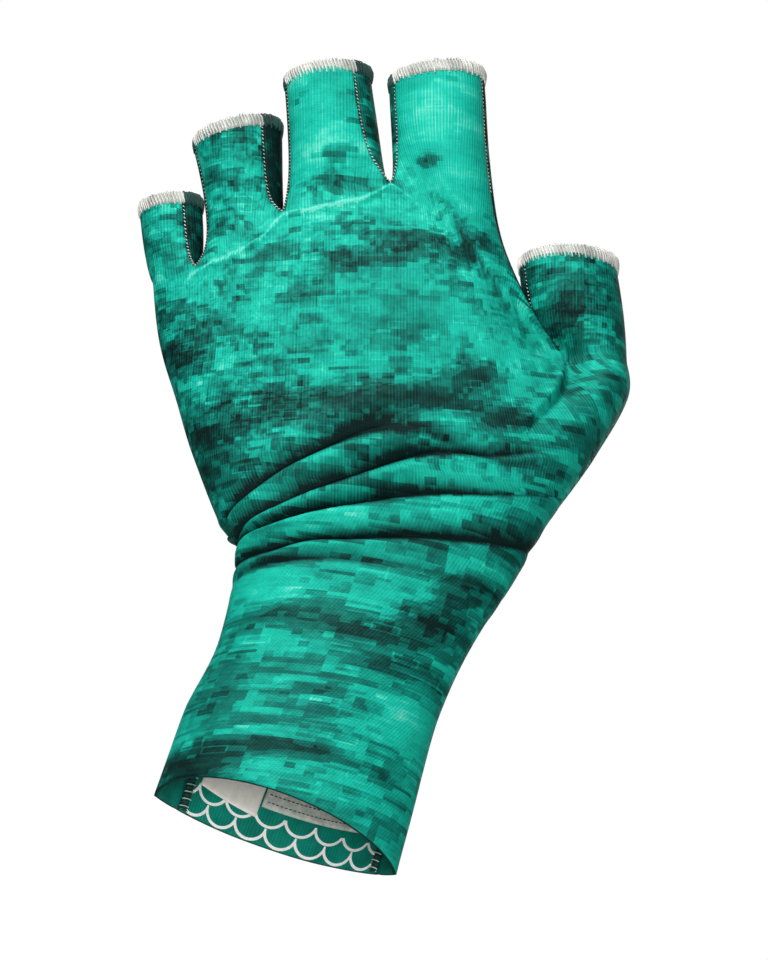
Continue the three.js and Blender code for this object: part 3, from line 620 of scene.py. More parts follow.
# The skin in one piece: equal points become one.
all_points = np.concatenate([b["points"].reshape(-1, 3) for b in blocks])
_, chosen, merged = np.unique(
    np.round(all_points * 200).astype(np.int64), axis=0, return_index=True, return_inverse=True)
merged = merged.ravel()
skin = all_points[chosen]
start = 0
for b in blocks:
    count = b["points"].shape[0] * b["points"].shape[1]
    b["index"] = merged[start:start + count].reshape(b["points"].shape[:2])
    start += count
    i = b["index"]
    quads = np.stack([i[:-1, :-1], i[:-1, 1:], i[1:, 1:], i[1:, :-1]], axis=-1).reshape(-1, 4)
    uv = b["uv"]
    corners = np.stack([uv[:-1, :-1], uv[:-1, 1:], uv[1:, 1:], uv[1:, :-1]], axis=-2).reshape(-1, 4, 2)
    b["quads"], b["corner_uv"] = (quads[:, ::-1], corners[:, ::-1]) if b["turned"] else (quads, corners)


def gather(field):
    """One value for each point of the skin: the largest in size of the blocks that share it."""
    values = np.concatenate([b[field].ravel() for b in blocks])
    order = np.argsort(np.abs(values), kind="stable")
    out = np.zeros(len(skin))
    out[merged[order]] = values[order]
    return out


def outward_directions(points, quads):
    """Mean of the faces' normals at each point, each from the cross product of its face's diagonals."""
    normal = unit(np.cross(points[quads[:, 2]] - points[quads[:, 0]], points[quads[:, 3]] - points[quads[:, 1]]))
    total = np.zeros_like(points)
    for k in range(4):
        np.add.at(total, quads[:, k], normal)
    return unit(total)


all_quads = np.concatenate([b["quads"] for b in blocks])
skin_layers = {layer: gather(layer) for layer in LAYERS}


def softened(points, quads, share, times):
    """Moves each point towards the mean of its neighbours, by its share, over and over."""
    edges = np.concatenate([quads[:, [k, (k + 1) % 4]] for k in range(4)])
    edges = np.unique(np.sort(edges, axis=1), axis=0)
    share = np.where(share > 0.01, share, 0)
    near = share[edges].max(axis=1) > 0
    ends = np.concatenate([edges[near], edges[near][:, ::-1]])
    count = np.maximum(np.bincount(ends[:, 0], minlength=len(points)), 1)
    for _ in range(times):
        mean = np.stack([np.bincount(ends[:, 0], points[ends[:, 1], k], len(points)) for k in range(3)], axis=-1)
        points = points + share[:, None] * (mean / count[:, None] - points)
    return points


SOFTENING, SOFTENING_STEPS = 0.9, 90
WAVE_HEIGHT, SEAM_DENT = 0.5, 0.3  # millimetres
skin = softened(skin, all_quads, SOFTENING * skin_layers["soft"], SOFTENING_STEPS)
outwards = outward_directions(skin, all_quads)
rise = skin_layers["relief"] + WAVE_HEIGHT * cloth_waves(skin) - SEAM_DENT * skin_layers["seam"]
skin = skin + outwards * rise[:, None]
outwards = outward_directions(skin, all_quads)


def build_mesh(name, points, faces, materials, slots=None, smooth_shading=True):
    """A piece from points in millimetres and a list of face arrays, each of faces with equal corner counts."""
    faces = [np.asarray(f, dtype=np.int32) for f in faces]
    mesh = bpy.data.meshes.new(name)
    mesh.vertices.add(len(points))
    mesh.vertices.foreach_set("co", (np.asarray(points) * MM).astype(np.float32).ravel())
    totals = np.concatenate([np.full(len(f), f.shape[1]) for f in faces]).astype(np.int32)
    mesh.loops.add(int(totals.sum()))
    mesh.loops.foreach_set("vertex_index", np.concatenate([f.ravel() for f in faces]))
    mesh.polygons.add(len(totals))
    mesh.polygons.foreach_set("loop_start", np.concatenate([[0], np.cumsum(totals)[:-1]]).astype(np.int32))
    mesh.polygons.foreach_set("use_smooth", np.full(len(totals), smooth_shading))
    if slots is not None:
        mesh.polygons.foreach_set("material_index", np.asarray(slots, dtype=np.int32))
    for material in materials:
        mesh.materials.append(material)
    mesh.update()
    mesh.validate()
    piece = link_object(name, mesh)
    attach(piece, "root")
    return piece


def set_uv(piece, corners, name="cloth"):
    piece.data.uv_layers.new(name=name).uv.foreach_set("vector", np.asarray(corners, dtype=np.float32).ravel())


def set_attribute(piece, name, values):
    layer = piece.data.attributes.new(name, "FLOAT", "POINT")
    layer.data.foreach_set("value", np.asarray(values, dtype=np.float32))


def panel_piece(name, panel, materials):
    """One panel of the skin with the cloth's thickness inwards: its outside, inside and cut edge by material."""
    quads = np.concatenate([b["quads"] for b in blocks if b["panel"] == panel])
    corners = np.concatenate([b["corner_uv"] for b in blocks if b["panel"] == panel])
    used, local = np.unique(quads, return_inverse=True)
    piece = build_mesh(name, skin[used], [local.reshape(-1, 4)], materials)
    set_uv(piece, corners)
    for layer in SHADER_LAYERS:
        set_attribute(piece, layer, skin_layers[layer][used])
    thickness = piece.modifiers.new("thickness", "SOLIDIFY")
    thickness.thickness = CLOTH * MM
    thickness.offset = -1
    thickness.material_offset, thickness.material_offset_rim = 1, 2
    return piece


def math(operation, *values):
    tree = next(value for value in values if isinstance(value, bpy.types.NodeSocket)).id_data
    return add_node(tree, "Math", enumerate(values), operation=operation).outputs[0]


def vector_math(operation, vector, *values):
    return add_node(vector.id_data, "VectorMath", enumerate((vector, *values)), operation=operation).outputs[0]


def axes(vector):
    """X, Y and Z of a vector."""
    return add_node(vector.id_data, "SeparateXYZ", {0: vector}).outputs


def vector_of(x, y, z=0.0):
    return add_node(x.id_data, "CombineXYZ", {0: x, 1: y, 2: z}).outputs[0]


def blend(factor, a, b):
    """Mixes two colours."""
    return add_node(factor.id_data, "Mix", {0: factor, 6: a, 7: b}, data_type="RGBA").outputs[2]


def ramp(value, low, high, out_low=0.0, out_high=1.0):
    """Maps value from low..high to out_low..out_high, clamped."""
    return add_node(value.id_data, "MapRange", {0: value, 1: low, 2: high, 3: out_low, 4: out_high}).outputs[0]


def noise(vector, scale, detail=2.0, roughness=0.5):
    inputs = {"Vector": vector, "Scale": scale, "Detail": detail, "Roughness": roughness}
    return add_node(vector.id_data, "TexNoise", inputs).outputs[0]


def new_group(name, inputs, outputs):
    """A shader node group with named sockets, as (name, kind) or (name, kind, default)."""
    tree = bpy.data.node_groups.new(name, "ShaderNodeTree")
    for way, sockets in (("INPUT", inputs), ("OUTPUT", outputs)):
        for label, kind, *default in sockets:
            socket = tree.interface.new_socket(label, in_out=way, socket_type="NodeSocket" + kind)
            if default:
                socket.default_value = default[0]
    return tree.nodes.new("NodeGroupInput").outputs, tree.nodes.new("NodeGroupOutput").inputs, tree


def use_group(group, inputs):
    return add_node(inputs["Vector"].id_data, "Group", inputs, node_tree=group).outputs


# Knit: ribs of stitches that run up the cloth. Each rib is a cosine across, each stitch a slanted sine along
# it. Rib also sets painted light and shade on the ribs, and Streak, a noise, how strongly that shows.
given, out, knit_group = new_group(
    "knit", [("Vector", "Vector"), ("Rib pitch", "Float", 0.95), ("Stitch pitch", "Float", 0.8)],
    [("Rib", "Float"), ("Height", "Float"), ("Streak", "Float")])
knit_x, knit_y, _ = axes(given["Vector"])
rib_count = math("DIVIDE", knit_x, given["Rib pitch"])
rib = math("MULTIPLY_ADD", math("COSINE", math("MULTIPLY", rib_count, 2 * np.pi)), 0.5, 0.5)
slant = math("ABSOLUTE", math("SUBTRACT", math("FRACT", rib_count), 0.5))
stitch_count = math("ADD", math("DIVIDE", knit_y, given["Stitch pitch"]), slant)
stitch = math("SINE", math("MULTIPLY", stitch_count, 2 * np.pi))
link(rib, out["Rib"])
link(math("MULTIPLY", rib, math("MULTIPLY_ADD", stitch, 0.3, 0.7)), out["Height"])
streak_place = vector_of(math("MULTIPLY", knit_x, 0.9), math("MULTIPLY", knit_y, 0.07))
link(noise(streak_place, 1.0, 3.0, 0.6), out["Streak"])

# Pixel print: the cloth is divided into oblong cells, and a cell takes a step of darkness from soft noise
# read at its corner, a little noise of its own and the tone. Large and small cells and, on the cuff, long
# bars lie over each other, with light chips and a few outlined boxes.
LARGE_CELL, SMALL_CELL, BAR, CHIP = (3.5, 1.7, 1), (1.75, 1.7, 1), (6.0, 0.9, 1), (2.0, 1.0, 1)
BOX = (5.1, 2.4, 1)
given, out, pixel_group = new_group(
    "pixel_print", [("Vector", "Vector"), ("Tone", "Float", 0.5), ("Bars", "Float", 0.0)],
    [("Dark", "Float"), ("Light", "Float"), ("Outline", "Float")])


def random_of(cell):
    """A random number from 0 to 1 for each whole-numbered cell."""
    return add_node(cell.id_data, "TexWhiteNoise", {"Vector": cell}, noise_dimensions="3D").outputs["Value"]


def cell_noise(size, wide, high, offset, grain):
    """Soft noise sampled once for each cell of a size, plus a little white noise."""
    cell = vector_math("FLOOR", vector_math("DIVIDE", given["Vector"], size))
    place = vector_math("ADD", vector_math("MULTIPLY", cell, (size[0] / wide, size[1] / high, 1)), offset)
    return math("ADD", noise(place, 1.0, 3.0, 0.6), math("MULTIPLY_ADD", random_of(cell), grain, -grain / 2))


def darkness_steps(value, steps):
    """A staircase: the share of each step is added where value passes its threshold."""
    total = 0.0
    for threshold, share in steps:
        total = math("MULTIPLY_ADD", ramp(value, threshold, threshold + 0.006), share, total)
    return total


large = cell_noise(LARGE_CELL, 21, 8, (3.1, 7.7, 0), 0.08)
small = cell_noise(SMALL_CELL, 13, 6, (13.1, 2.7, 0), 0.12)
bars = cell_noise(BAR, 30, 4, (5.1, 9.7, 0), 0.12)
chips = cell_noise(CHIP, 8, 3.5, (31.1, 22.7, 0), 0.16)
lift = math("MULTIPLY_ADD", given["Tone"], 0.52, -0.272)
cells = math("ADD", math("MAXIMUM", large, math("SUBTRACT", small, 0.035)), lift)
bars = math("MULTIPLY_ADD", given["Bars"], 0.08, math("ADD", bars, lift))
link(math("MAXIMUM", darkness_steps(cells, ((0.515, 0.32), (0.56, 0.34), (0.65, 0.42))),
          darkness_steps(bars, ((0.62, 0.4), (0.67, 0.35)))), out["Dark"])
link(darkness_steps(chips, ((0.63, 0.4), (0.68, 0.6))), out["Light"])
box = vector_math("DIVIDE", given["Vector"], BOX)
from_middle = vector_math("ABSOLUTE", vector_math("SUBTRACT", vector_math("FRACTION", box), (0.5, 0.5, 0.5)))
box_x, box_y, _ = axes(from_middle)
edge = math("MAXIMUM", math("GREATER_THAN", box_x, 0.42), math("GREATER_THAN", box_y, 0.34))
chosen_box = math("GREATER_THAN", random_of(vector_math("FLOOR", box)), 0.955)
link(math("MULTIPLY", edge, chosen_box), out["Outline"])


def add_bump(shader, height, strength, distance):
    """Gives a shader the relief of a height, over a distance in millimetres."""
    inputs = {"Strength": strength, "Distance": distance * MM, "Height": height}
    link(add_node(height.id_data, "Bump", inputs).outputs[0], shader["Normal"])


def knit_surface(shader, vector, rib_pitch, bump):
    """Gives a material the knit's relief, and returns the group's outputs."""
    knit = use_group(knit_group, {"Vector": vector, "Rib pitch": rib_pitch, "Stitch pitch": rib_pitch * 0.85})
    fuzz = noise(vector, 1.6, 3.0, 0.65)
    add_bump(shader, math("ADD", knit["Height"], math("MULTIPLY", fuzz, 0.9)), bump, 0.25)
    shader["Specular IOR Level"].default_value = 0.13
    return knit


def cloth_vector(tree):
    return add_node(tree, "UVMap", uv_map="cloth").outputs[0]


NIGHT = srgb(0, 32, 30)
DYES = (
    (0.0, srgb(106, 212, 190)), (0.16, srgb(20, 193, 168)), (0.4, srgb(9, 154, 135)), (0.6, srgb(3, 112, 99)),
    (0.84, srgb(0, 66, 59)), (1.0, NIGHT),
)


def layer_value(tree, layer):
    return add_node(tree, "Attribute", attribute_name=layer).outputs["Fac"]


def colour_ramp(tree, value, stops):
    """Maps a value to colours, given as (place, colour)."""
    node = add_node(tree, "ValToRGB", {0: value})
    elements = node.color_ramp.elements
    while len(elements) < len(stops):
        elements.new(0.5)
    for element, (place, colour) in zip(elements, stops):
        element.position, element.color = place, colour
    return node.outputs[0]


def printed_knit(name, darker):
    """The printed outside. Clouds, fine mottling, pixels, bars and painted light and shade add up to one
    darkness, and dyes follow it.
    """
    material, tree, shader = principled(name)
    vector = cloth_vector(tree)
    tone = math("ADD", layer_value(tree, "tone"), darker)
    on_cuff = math("GREATER_THAN", layer_value(tree, "cuff"), 0.5)
    grime, calm = layer_value(tree, "grime"), layer_value(tree, "calm")
    turned = add_node(tree, "VectorRotate", {"Vector": vector, "Angle": math("MULTIPLY", on_cuff, 0.5)},
                      rotation_type="Z_AXIS").outputs[0]
    knit = knit_surface(shader, turned, 0.92, 0.4)
    place = vector_math("MULTIPLY", vector, vector_of(math("MULTIPLY_ADD", on_cuff, -0.4, 1.0), 1.0, 1.0))
    pixels = use_group(pixel_group, {"Vector": place, "Tone": tone, "Bars": on_cuff})
    clouds = noise(vector_math("MULTIPLY", place, (0.05, 0.1, 1)), 1.0, 4.0, 0.6)
    mottle = noise(vector_math("MULTIPLY", vector, (0.17, 0.22, 1)), 1.0, 5.0, 0.66)
    streaks = noise(vector_math("MULTIPLY", place, (0.09, 1.1, 1)), 1.0, 3.0, 0.6)
    patches = {"Vector": vector_math("MULTIPLY", vector, (0.24, 0.28, 0)), "Scale": 1.0, "Randomness": 0.8}
    to_patch_edge = add_node(tree, "TexVoronoi", patches, feature="DISTANCE_TO_EDGE").outputs["Distance"]
    in_dark = ramp(tone, 0.35, 0.7, 0.3, 1.0)
    rib_light_and_shade_strength = ramp(knit["Streak"], 0.38, 0.68, 0.03, 0.28)
    dark = math("MULTIPLY_ADD", tone, 0.3, 0.135)
    for value, share in (
        (math("SUBTRACT", clouds, 0.5), 0.75),
        (math("MULTIPLY", math("SUBTRACT", mottle, 0.5), grime), 1.15),
        (math("SUBTRACT", streaks, 0.5), math("MULTIPLY_ADD", on_cuff, 0.16, 0.14)),
        (math("MULTIPLY", ramp(to_patch_edge, 0.0, 0.09, 1.0, 0.0), grime), 0.13),
        (calm, 0.14),
        (pixels["Dark"], math("MULTIPLY_ADD", calm, -0.36, 0.45)),
        (math("MULTIPLY", pixels["Light"], in_dark), -0.26),
        (math("MULTIPLY", pixels["Outline"], in_dark), -0.18),
        # painted light and shade on the ribs: crests lighter, the hollows between them darker, in streaks
        (math("MULTIPLY", math("SUBTRACT", knit["Rib"], 0.5), rib_light_and_shade_strength),
         math("MULTIPLY_ADD", on_cuff, 0.55, -1.0)),
        # painted shade: darker at the bottom of the creases
        (layer_value(tree, "crease"), 0.95),
        (layer_value(tree, "seam"), 0.08),
        # painted highlight: lighter along the tension ridge's crest
        (layer_value(tree, "ridge"), -0.4),
    ):
        dark = math("MULTIPLY_ADD", value, share, dark)
    link(colour_ramp(tree, dark, DYES), shader["Base Color"])
    link(ramp(mottle, 0.3, 0.7, 0.6, 0.76), shader["Roughness"])
    return material


def plain_knit(name, colour, second):
    """Unprinted knit in one mottled colour, with painted shade between the ribs: the inside of the cloth and its
    cut edges.
    """
    material, tree, shader = principled(name)
    vector = cloth_vector(tree)
    knit = knit_surface(shader, vector, 0.95, 0.5)
    shade = blend(ramp(noise(vector, 0.12, 5.0, 0.6), 0.35, 0.7), colour, second)
    # painted shade: darker between the ribs
    shade = blend(math("MULTIPLY", math("SUBTRACT", 1.0, knit["Rib"]), 0.25), shade, NIGHT)
    link(shade, shader["Base Color"])
    shader["Roughness"].default_value = 0.66
    return material


back_print = printed_knit("printed_knit_back", 0.0)
inside_knit = plain_knit("inside_of_knit", srgb(8, 134, 116), srgb(4, 100, 88))
cut_edge = plain_knit("cut_edge_of_knit", srgb(4, 66, 58), srgb(3, 48, 44))
back_cloth = panel_piece("back_of_hand_cloth", "back_panel", [back_print, inside_knit, cut_edge])
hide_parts("back_panel")


# Palm panel: the same knit over the palm, the fronts of the fingers and the strip between index finger and
# thumb, printed with white fish scales near the cuff's mouth, where the print goes through to the inside.
given, out, scale_group = new_group("scale_lines", [
    ("Vector", "Vector"), ("Width", "Float", 9.0), ("Rise", "Float", 5.2), ("Line", "Float", 0.42),
], [("Line", "Float")])
scale_x, scale_y, _ = axes(given["Vector"])
half_wide = math("MULTIPLY", given["Width"], 0.5)
radius = math("MULTIPLY", given["Width"], 0.56)
row = math("FLOOR", math("DIVIDE", scale_y, given["Rise"]))


def scale_distance(row):
    """Distance from the centre of a row's nearest scale, by Pythagoras; every second row is set off by half."""
    shifted = math("ADD", scale_x, math("MULTIPLY", math("PINGPONG", row, 1.0), half_wide))
    over = math("WRAP", shifted, half_wide, math("MULTIPLY", half_wide, -1.0))
    up = math("SUBTRACT", scale_y, math("MULTIPLY", math("ADD", row, 1.0), given["Rise"]))
    return math("SQRT", math("ADD", math("MULTIPLY", over, over), math("MULTIPLY", up, up)))


near = scale_distance(row)
far = scale_distance(math("ADD", row, 1.0))
distance = math("MULTIPLY_ADD", math("LESS_THAN", near, radius), math("SUBTRACT", near, far), far)
off_line = math("ABSOLUTE", math("SUBTRACT", distance, math("SUBTRACT", radius, given["Line"])))
link(math("LESS_THAN", off_line, given["Line"]), out["Line"])


def add_scales(material, top, ragged, strength):
    """White scale lines over a knit's colour, from the mouth up to a ragged height."""
    tree = material.node_tree
    colour = tree.nodes["Principled BSDF"].inputs["Base Color"]
    vector, height = cloth_vector(tree), layer_value(tree, "mouth")
    lines = use_group(scale_group, {"Vector": vector_of(axes(vector)[0], height)})["Line"]
    end = math("MULTIPLY_ADD", noise(vector, 0.11, 2.0, 0.5), ragged, top - ragged / 2)
    shown = math("MULTIPLY", lines, math("LESS_THAN", height, end))
    link(blend(math("MULTIPLY", shown, strength), colour.links[0].from_socket, srgb(250, 251, 248)), colour)
    return material


palm_print = add_scales(printed_knit("printed_knit_palm", 0.12), 34, 30, 0.95)
palm_inside = add_scales(plain_knit("inside_of_palm_knit", srgb(9, 150, 129), srgb(5, 116, 100)), 9.2, 6, 1.0)
palm_cloth = panel_piece("palm_cloth", "palm_panel", [palm_print, palm_inside, cut_edge])
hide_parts("palm_panel")


# Side strips: narrow strips of dark knit that line the sides of the fingers, each running down one finger,
# round the fork and up the next, and sewn to both panels.
STRIP_DARKER = {"little_ring": 0.1, "ring_middle": 0.5, "middle_index": -0.04}
for fork in FORKS[:3]:
    name = fork["name"]
    strip_knit = printed_knit("strip_knit_" + name, STRIP_DARKER[name])
    strip = panel_piece(name + "_strip_cloth", "side_strip_" + name, [strip_knit, inside_knit, cut_edge])
    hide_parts("side_strip_" + name)


# Seam stitches: off-white thread in short cross stitches that bridge each seam, pulled a little into the
# cloth.
THREAD = srgb(240, 238, 232)


def thread_material(name, colour, dark):
    """Spun thread: fine twist lines on Object coordinates, and a little soil in patches."""
    material, tree, shader = principled(name)
    place = add_node(tree, "TexCoord").outputs["Object"]
    fibre = noise(place, 2600, 2.0, 0.5)
    shade = blend(ramp(noise(place, 180, 3.0, 0.5), 0.35, 0.7), colour, dark)
    shade = blend(ramp(fibre, 0.45, 0.7, 0.0, 0.3), shade, dark)
    link(shade, shader["Base Color"])
    add_bump(shader, fibre, 0.5, 0.1)
    shader["Roughness"].default_value = 0.72
    shader["Sheen Weight"].default_value = 0.15
    return material


thread = thread_material("white_thread", THREAD, srgb(176, 172, 166))


def tubes(paths, across, radius, sides=5):
    """Thread along many paths, arrays by path and point: circles of points, and their quads and end caps."""
    along = unit(np.gradient(paths, axis=1))
    first = unit(across - (across * along).sum(-1, keepdims=True) * along)
    second = np.cross(along, first)
    angle = (np.arange(sides) * 2 * np.pi / sides)[:, None]
    rings = paths[:, :, None] + radius * (np.cos(angle) * first[:, :, None] + np.sin(angle) * second[:, :, None])
    at = np.arange(rings[..., 0].size).reshape(rings.shape[:3])
    nxt = np.roll(at, -1, axis=2)
    quads = np.stack([at[:, :-1], nxt[:, :-1], nxt[:, 1:], at[:, 1:]], axis=-1).reshape(-1, 4)
    caps = np.concatenate([at[:, 0, ::-1], at[:, -1]])
    return rings.reshape(-1, 3), quads, caps


def thread_piece(name, paths, across, radius, material):
    """Threads along many paths, as one object."""
    points, quads, caps = tubes(paths, across, radius)
    return build_mesh(name, points, [quads, caps], [material])


def resampled(line, pitch):
    """Points, and their place as a fraction of the line's point numbers, every pitch along a line of points."""
    run = lengths(line[:, None], 0)[:, 0]
    at = np.arange(pitch / 2, run[-1], pitch)
    place = np.interp(at, run, np.arange(len(line)))
    return np.stack([np.interp(at, run, line[:, k]) for k in range(3)], axis=-1), place


def sampled(values, place):
    """Rows of an array at fractional row numbers."""
    rows = np.arange(len(values))
    return np.stack([np.interp(place, rows, values[:, k]) for k in range(values.shape[1])], axis=-1)


seam_lines = []
for fork in FORKS:
    grid = blocks[strip_blocks[fork["name"]]]["index"]
    back_line, palm_line = grid[:, 0], grid[:, -1]
    if fork["name"] == "index_thumb":  # the lip hides the rest of this seam's stitches
        far = np.abs(strip_w[:, 0]) > 0.4
        seam_lines += [back_line[far & (strip_w[:, 0] < 0)], back_line[far & (strip_w[:, 0] > 0)], palm_line]
    else:
        seam_lines += [back_line, palm_line]
palm_hand = next(b for b in blocks if b["panel"] == "palm_panel" and b["turned"])
side_seams = [palm_hand["index"][:, 0], palm_hand["index"][:, -1]]
palm_tubes = [b["index"] for b in blocks if b["panel"] == "palm_panel" and len(b["index"]) == len(tube_t)]
seam_lines.append(np.concatenate([side_seams[0], palm_tubes[0][1:, 0]]))
seam_lines.append(np.concatenate([side_seams[1], palm_tubes[-1][1:, -1]]))

STITCH_PITCH, STITCH_HALF, STITCH_SLANT, STITCH_THICK = 1.1, 0.28, 0.22, 0.13
STITCH_RISE, STITCH_SINKS = 0.12, 0.3  # how high a stitch's middle stands, and how far its ends sink below it
v = np.linspace(-1, 1, 6)[None, :, None]
stitch_paths, stitch_across = [], []
for line in seam_lines:
    places, number = resampled(skin[line], STITCH_PITCH)
    normal = sampled(outwards[line], number)
    way = unit(sampled(np.gradient(skin[line], axis=0), number))
    over = unit(np.cross(normal, way))
    stitch_paths.append(places[:, None] + over[:, None] * v * STITCH_HALF + way[:, None] * v * STITCH_SLANT
                        + normal[:, None] * (STITCH_RISE - STITCH_SINKS * v ** 2))
    stitch_across.append(np.broadcast_to(way[:, None], stitch_paths[-1].shape))
stitches = thread_piece(
    "seam_stitches", np.concatenate(stitch_paths), np.concatenate(stitch_across), STITCH_THICK, thread)


# Edgings: the end of each finger is overlocked, a dense band of slanting loops that go up the outside, over
# the edge and down the inside, round a soft core that holds the cloth's cut end. The thread is off-white on
# the panels and dark on the strips between the fingers.
LOOP_PITCH, LOOP_THICK, LOOP_JITTER, LOOP_SLANT = 0.95, 0.25, 0.06, 1.3
CORE_SIDES, RIM_STEPS = 120, 721
UPWARDS = np.array((0, 0, 1.0))
CORE_PROFILE = np.array([
    (0.5, 0.2), (0.56, 1.2), (0.6, 2.4), (0.3, 3.3), (-0.3, 3.3), (-0.6, 2.4), (-0.56, 1.2), (-0.5, 0.2)])
LOOP_PROFILE = np.array([  # out from the middle of the cloth, up from its end, and slant along the edge
    (0.5, 0.4, 0.62), (0.7, 0.95, 0.5), (0.82, 1.7, 0.25), (0.82, 2.6, 0.0), (0.55, 3.4, -0.2),
    (0.0, 3.72, -0.3), (-0.55, 3.4, -0.26), (-0.82, 2.6, -0.1), (-0.82, 1.6, 0.1), (-0.7, 0.8, 0.3),
    (-0.5, 0.3, 0.45)])
LONG_END = np.array([(0.02, -0.55), (0.0, -0.2)] + [(0, 0)] * 9)  # what every second loop reaches further down
edging_core = thread_material("edging_core", srgb(196, 200, 194), srgb(120, 140, 130))
dark_edging = thread_material("dark_edging_thread", srgb(6, 78, 68), srgb(2, 40, 38))
edging_random = np.random.default_rng(5)


def rim_frame(finger, angle):
    """The end of a finger at given angles: its points, the way round it, and the way out of it."""
    t = 1 + 0 * angle
    way = unit(tube_point(finger, angle + 0.02, t) - tube_point(finger, angle - 0.02, t))
    return tube_point(finger, angle, t), way, unit(np.cross(way, UPWARDS))


def on_strip(finger, angle):
    """Where round a finger's end a side strip lies instead of a panel."""
    angle = (np.degrees(angle) + 180) % 360 - 180
    right = (angle > finger["right"]) & (angle < 180 - finger["right"]) & (finger["name"] != "thumb")
    left = (angle < finger["left"]) & (angle > -180 - finger["left"]) & (finger["name"] != "little")
    return (right & (finger["name"] != "index")) | (left & (finger["name"] != "thumb"))


for finger in FINGERS:
    around = np.linspace(0, 2 * np.pi, CORE_SIDES, endpoint=False)
    rim, way, out = rim_frame(finger, around)
    core = (rim - out * CLOTH / 2)[:, None] + out[:, None] * CORE_PROFILE[:, :1] + UPWARDS * CORE_PROFILE[:, 1:]
    count = len(CORE_PROFILE)
    at = np.arange(CORE_SIDES * count).reshape(CORE_SIDES, count)
    nxt, up = np.roll(at, -1, axis=0), np.roll(at, -1, axis=1)
    core_quads = np.stack([at, nxt, np.roll(nxt, -1, axis=1), up], axis=-1).reshape(-1, 4)
    core_slots = np.repeat(np.where(on_strip(finger, around + np.pi / CORE_SIDES), 2, 0), count)

    fine = np.linspace(0, 2 * np.pi, RIM_STEPS)
    run = lengths(rim_frame(finger, fine)[0][:, None], 0)[:, 0]
    loops = 2 * int(round(run[-1] / LOOP_PITCH / 2))
    jitter = edging_random.normal(0, LOOP_JITTER, (loops, 3))
    at_run = (np.arange(loops) + 0.5) / loops * run[-1]
    path_run = at_run[:, None] + LOOP_PROFILE[:, 2] * LOOP_SLANT + jitter[:, :1]
    rim, way, out = rim_frame(finger, np.interp(path_run % run[-1], run, fine))
    longer = (np.arange(loops) % 2)[:, None, None] * LONG_END
    bulge = LOOP_PROFILE[:, :1] * (1 + jitter[:, None, 1:2]) + longer[..., :1]
    rise = LOOP_PROFILE[:, 1:2] + jitter[:, None, 2:3] * 2.5 + longer[..., 1:]
    paths = rim - out * CLOTH / 2 + out * bulge + UPWARDS * rise
    loop_points, loop_quads, loop_caps = tubes(paths, way, LOOP_THICK)
    dark = np.where(on_strip(finger, np.interp(at_run, run, fine)), 2, 1)
    offset = CORE_SIDES * count
    edging = build_mesh(
        finger["name"] + "_finger_edging", np.concatenate([core.reshape(-1, 3), loop_points]),
        [core_quads, loop_quads + offset, loop_caps + offset], [edging_core, thread, dark_edging],
        slots=np.concatenate([core_slots, np.repeat(dark, len(loop_quads) // loops), dark, dark]))
    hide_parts(finger["name"] + "_edging")


# Cuff tape: a pale woven tape inside the palm side of the cuff, sewn down with two rows of dark stitches.
TAPE_WIDTH, TAPE_THICKNESS, TAPE_INSET, SEWN_GAP = 8, 0.9, 10, 0.3
LABEL_WIDTH, LABEL_HEIGHT, LABEL_SLANT = 21, 11.5, 2
LABEL_START, TAPE_END = -0.53, 0.74
ROUND_PER_MM = 2 / (np.pi * MOUTH_WIDTH / 2)


def inside_point(u, z, depth):
    """A point inside the cuff's palm side: depth further in than the cloth's thickness and the sewn gap."""
    along = z / CUFF_LENGTH
    p = hand_point(1, u, along)
    normal = unit(np.cross(hand_point(1, u, along + 0.02) - p, hand_point(1, u + 0.02, along) - p))
    return p - normal * (CLOTH + SEWN_GAP + np.asarray(depth))[..., None]


def swept_piece(name, rings, across, up, material, turned=False):
    """A closed piece over rings of points, with its map from across and up; turned swaps its faces' way."""
    at = np.arange(rings[..., 0].size).reshape(rings.shape[:2])
    nxt = np.roll(at, -1, axis=1)
    quads = np.stack([at[:-1], at[1:], nxt[1:], nxt[:-1]], axis=-1).reshape(-1, 4)
    caps = np.stack([at[0], at[-1, ::-1]])
    if turned:
        quads, caps = quads[:, ::-1], caps[:, ::-1]
    piece = build_mesh(name, rings.reshape(-1, 3), [quads, caps], [material])
    flat_map = np.stack(np.broadcast_arrays(across, up), axis=-1).reshape(-1, 2)
    set_uv(piece, np.concatenate([flat_map[quads].reshape(-1, 2), flat_map[caps].reshape(-1, 2)]))
    return piece


def patch_piece(name, u, z, thickness, lift, material, slant=0):
    """A flat patch with a ring of points for each u, up its inner face and down its outer one. lift is how far
    each height stands off the cloth, and slant is how much higher the lower edge starts than it ends."""
    rise = slant * (u[-1] - u) / (u[-1] - u[0])
    height = z[None] + rise[:, None] * (z[-1] - z) / (z[-1] - z[0])
    round_u = u[:, None] + 0 * height
    edge = np.minimum(height - height[:, [0]], height[:, [-1]] - height)
    round_edge = thickness * 0.3 * np.exp(-edge / 0.35)
    front = inside_point(round_u, height, thickness - round_edge + lift)
    back = inside_point(round_u, height, round_edge * 0.5 + lift)
    rings = np.concatenate([front, back[:, ::-1]], axis=1)
    return swept_piece(name, rings, (u / ROUND_PER_MM)[:, None], np.concatenate([z, z[::-1]])[None], material)


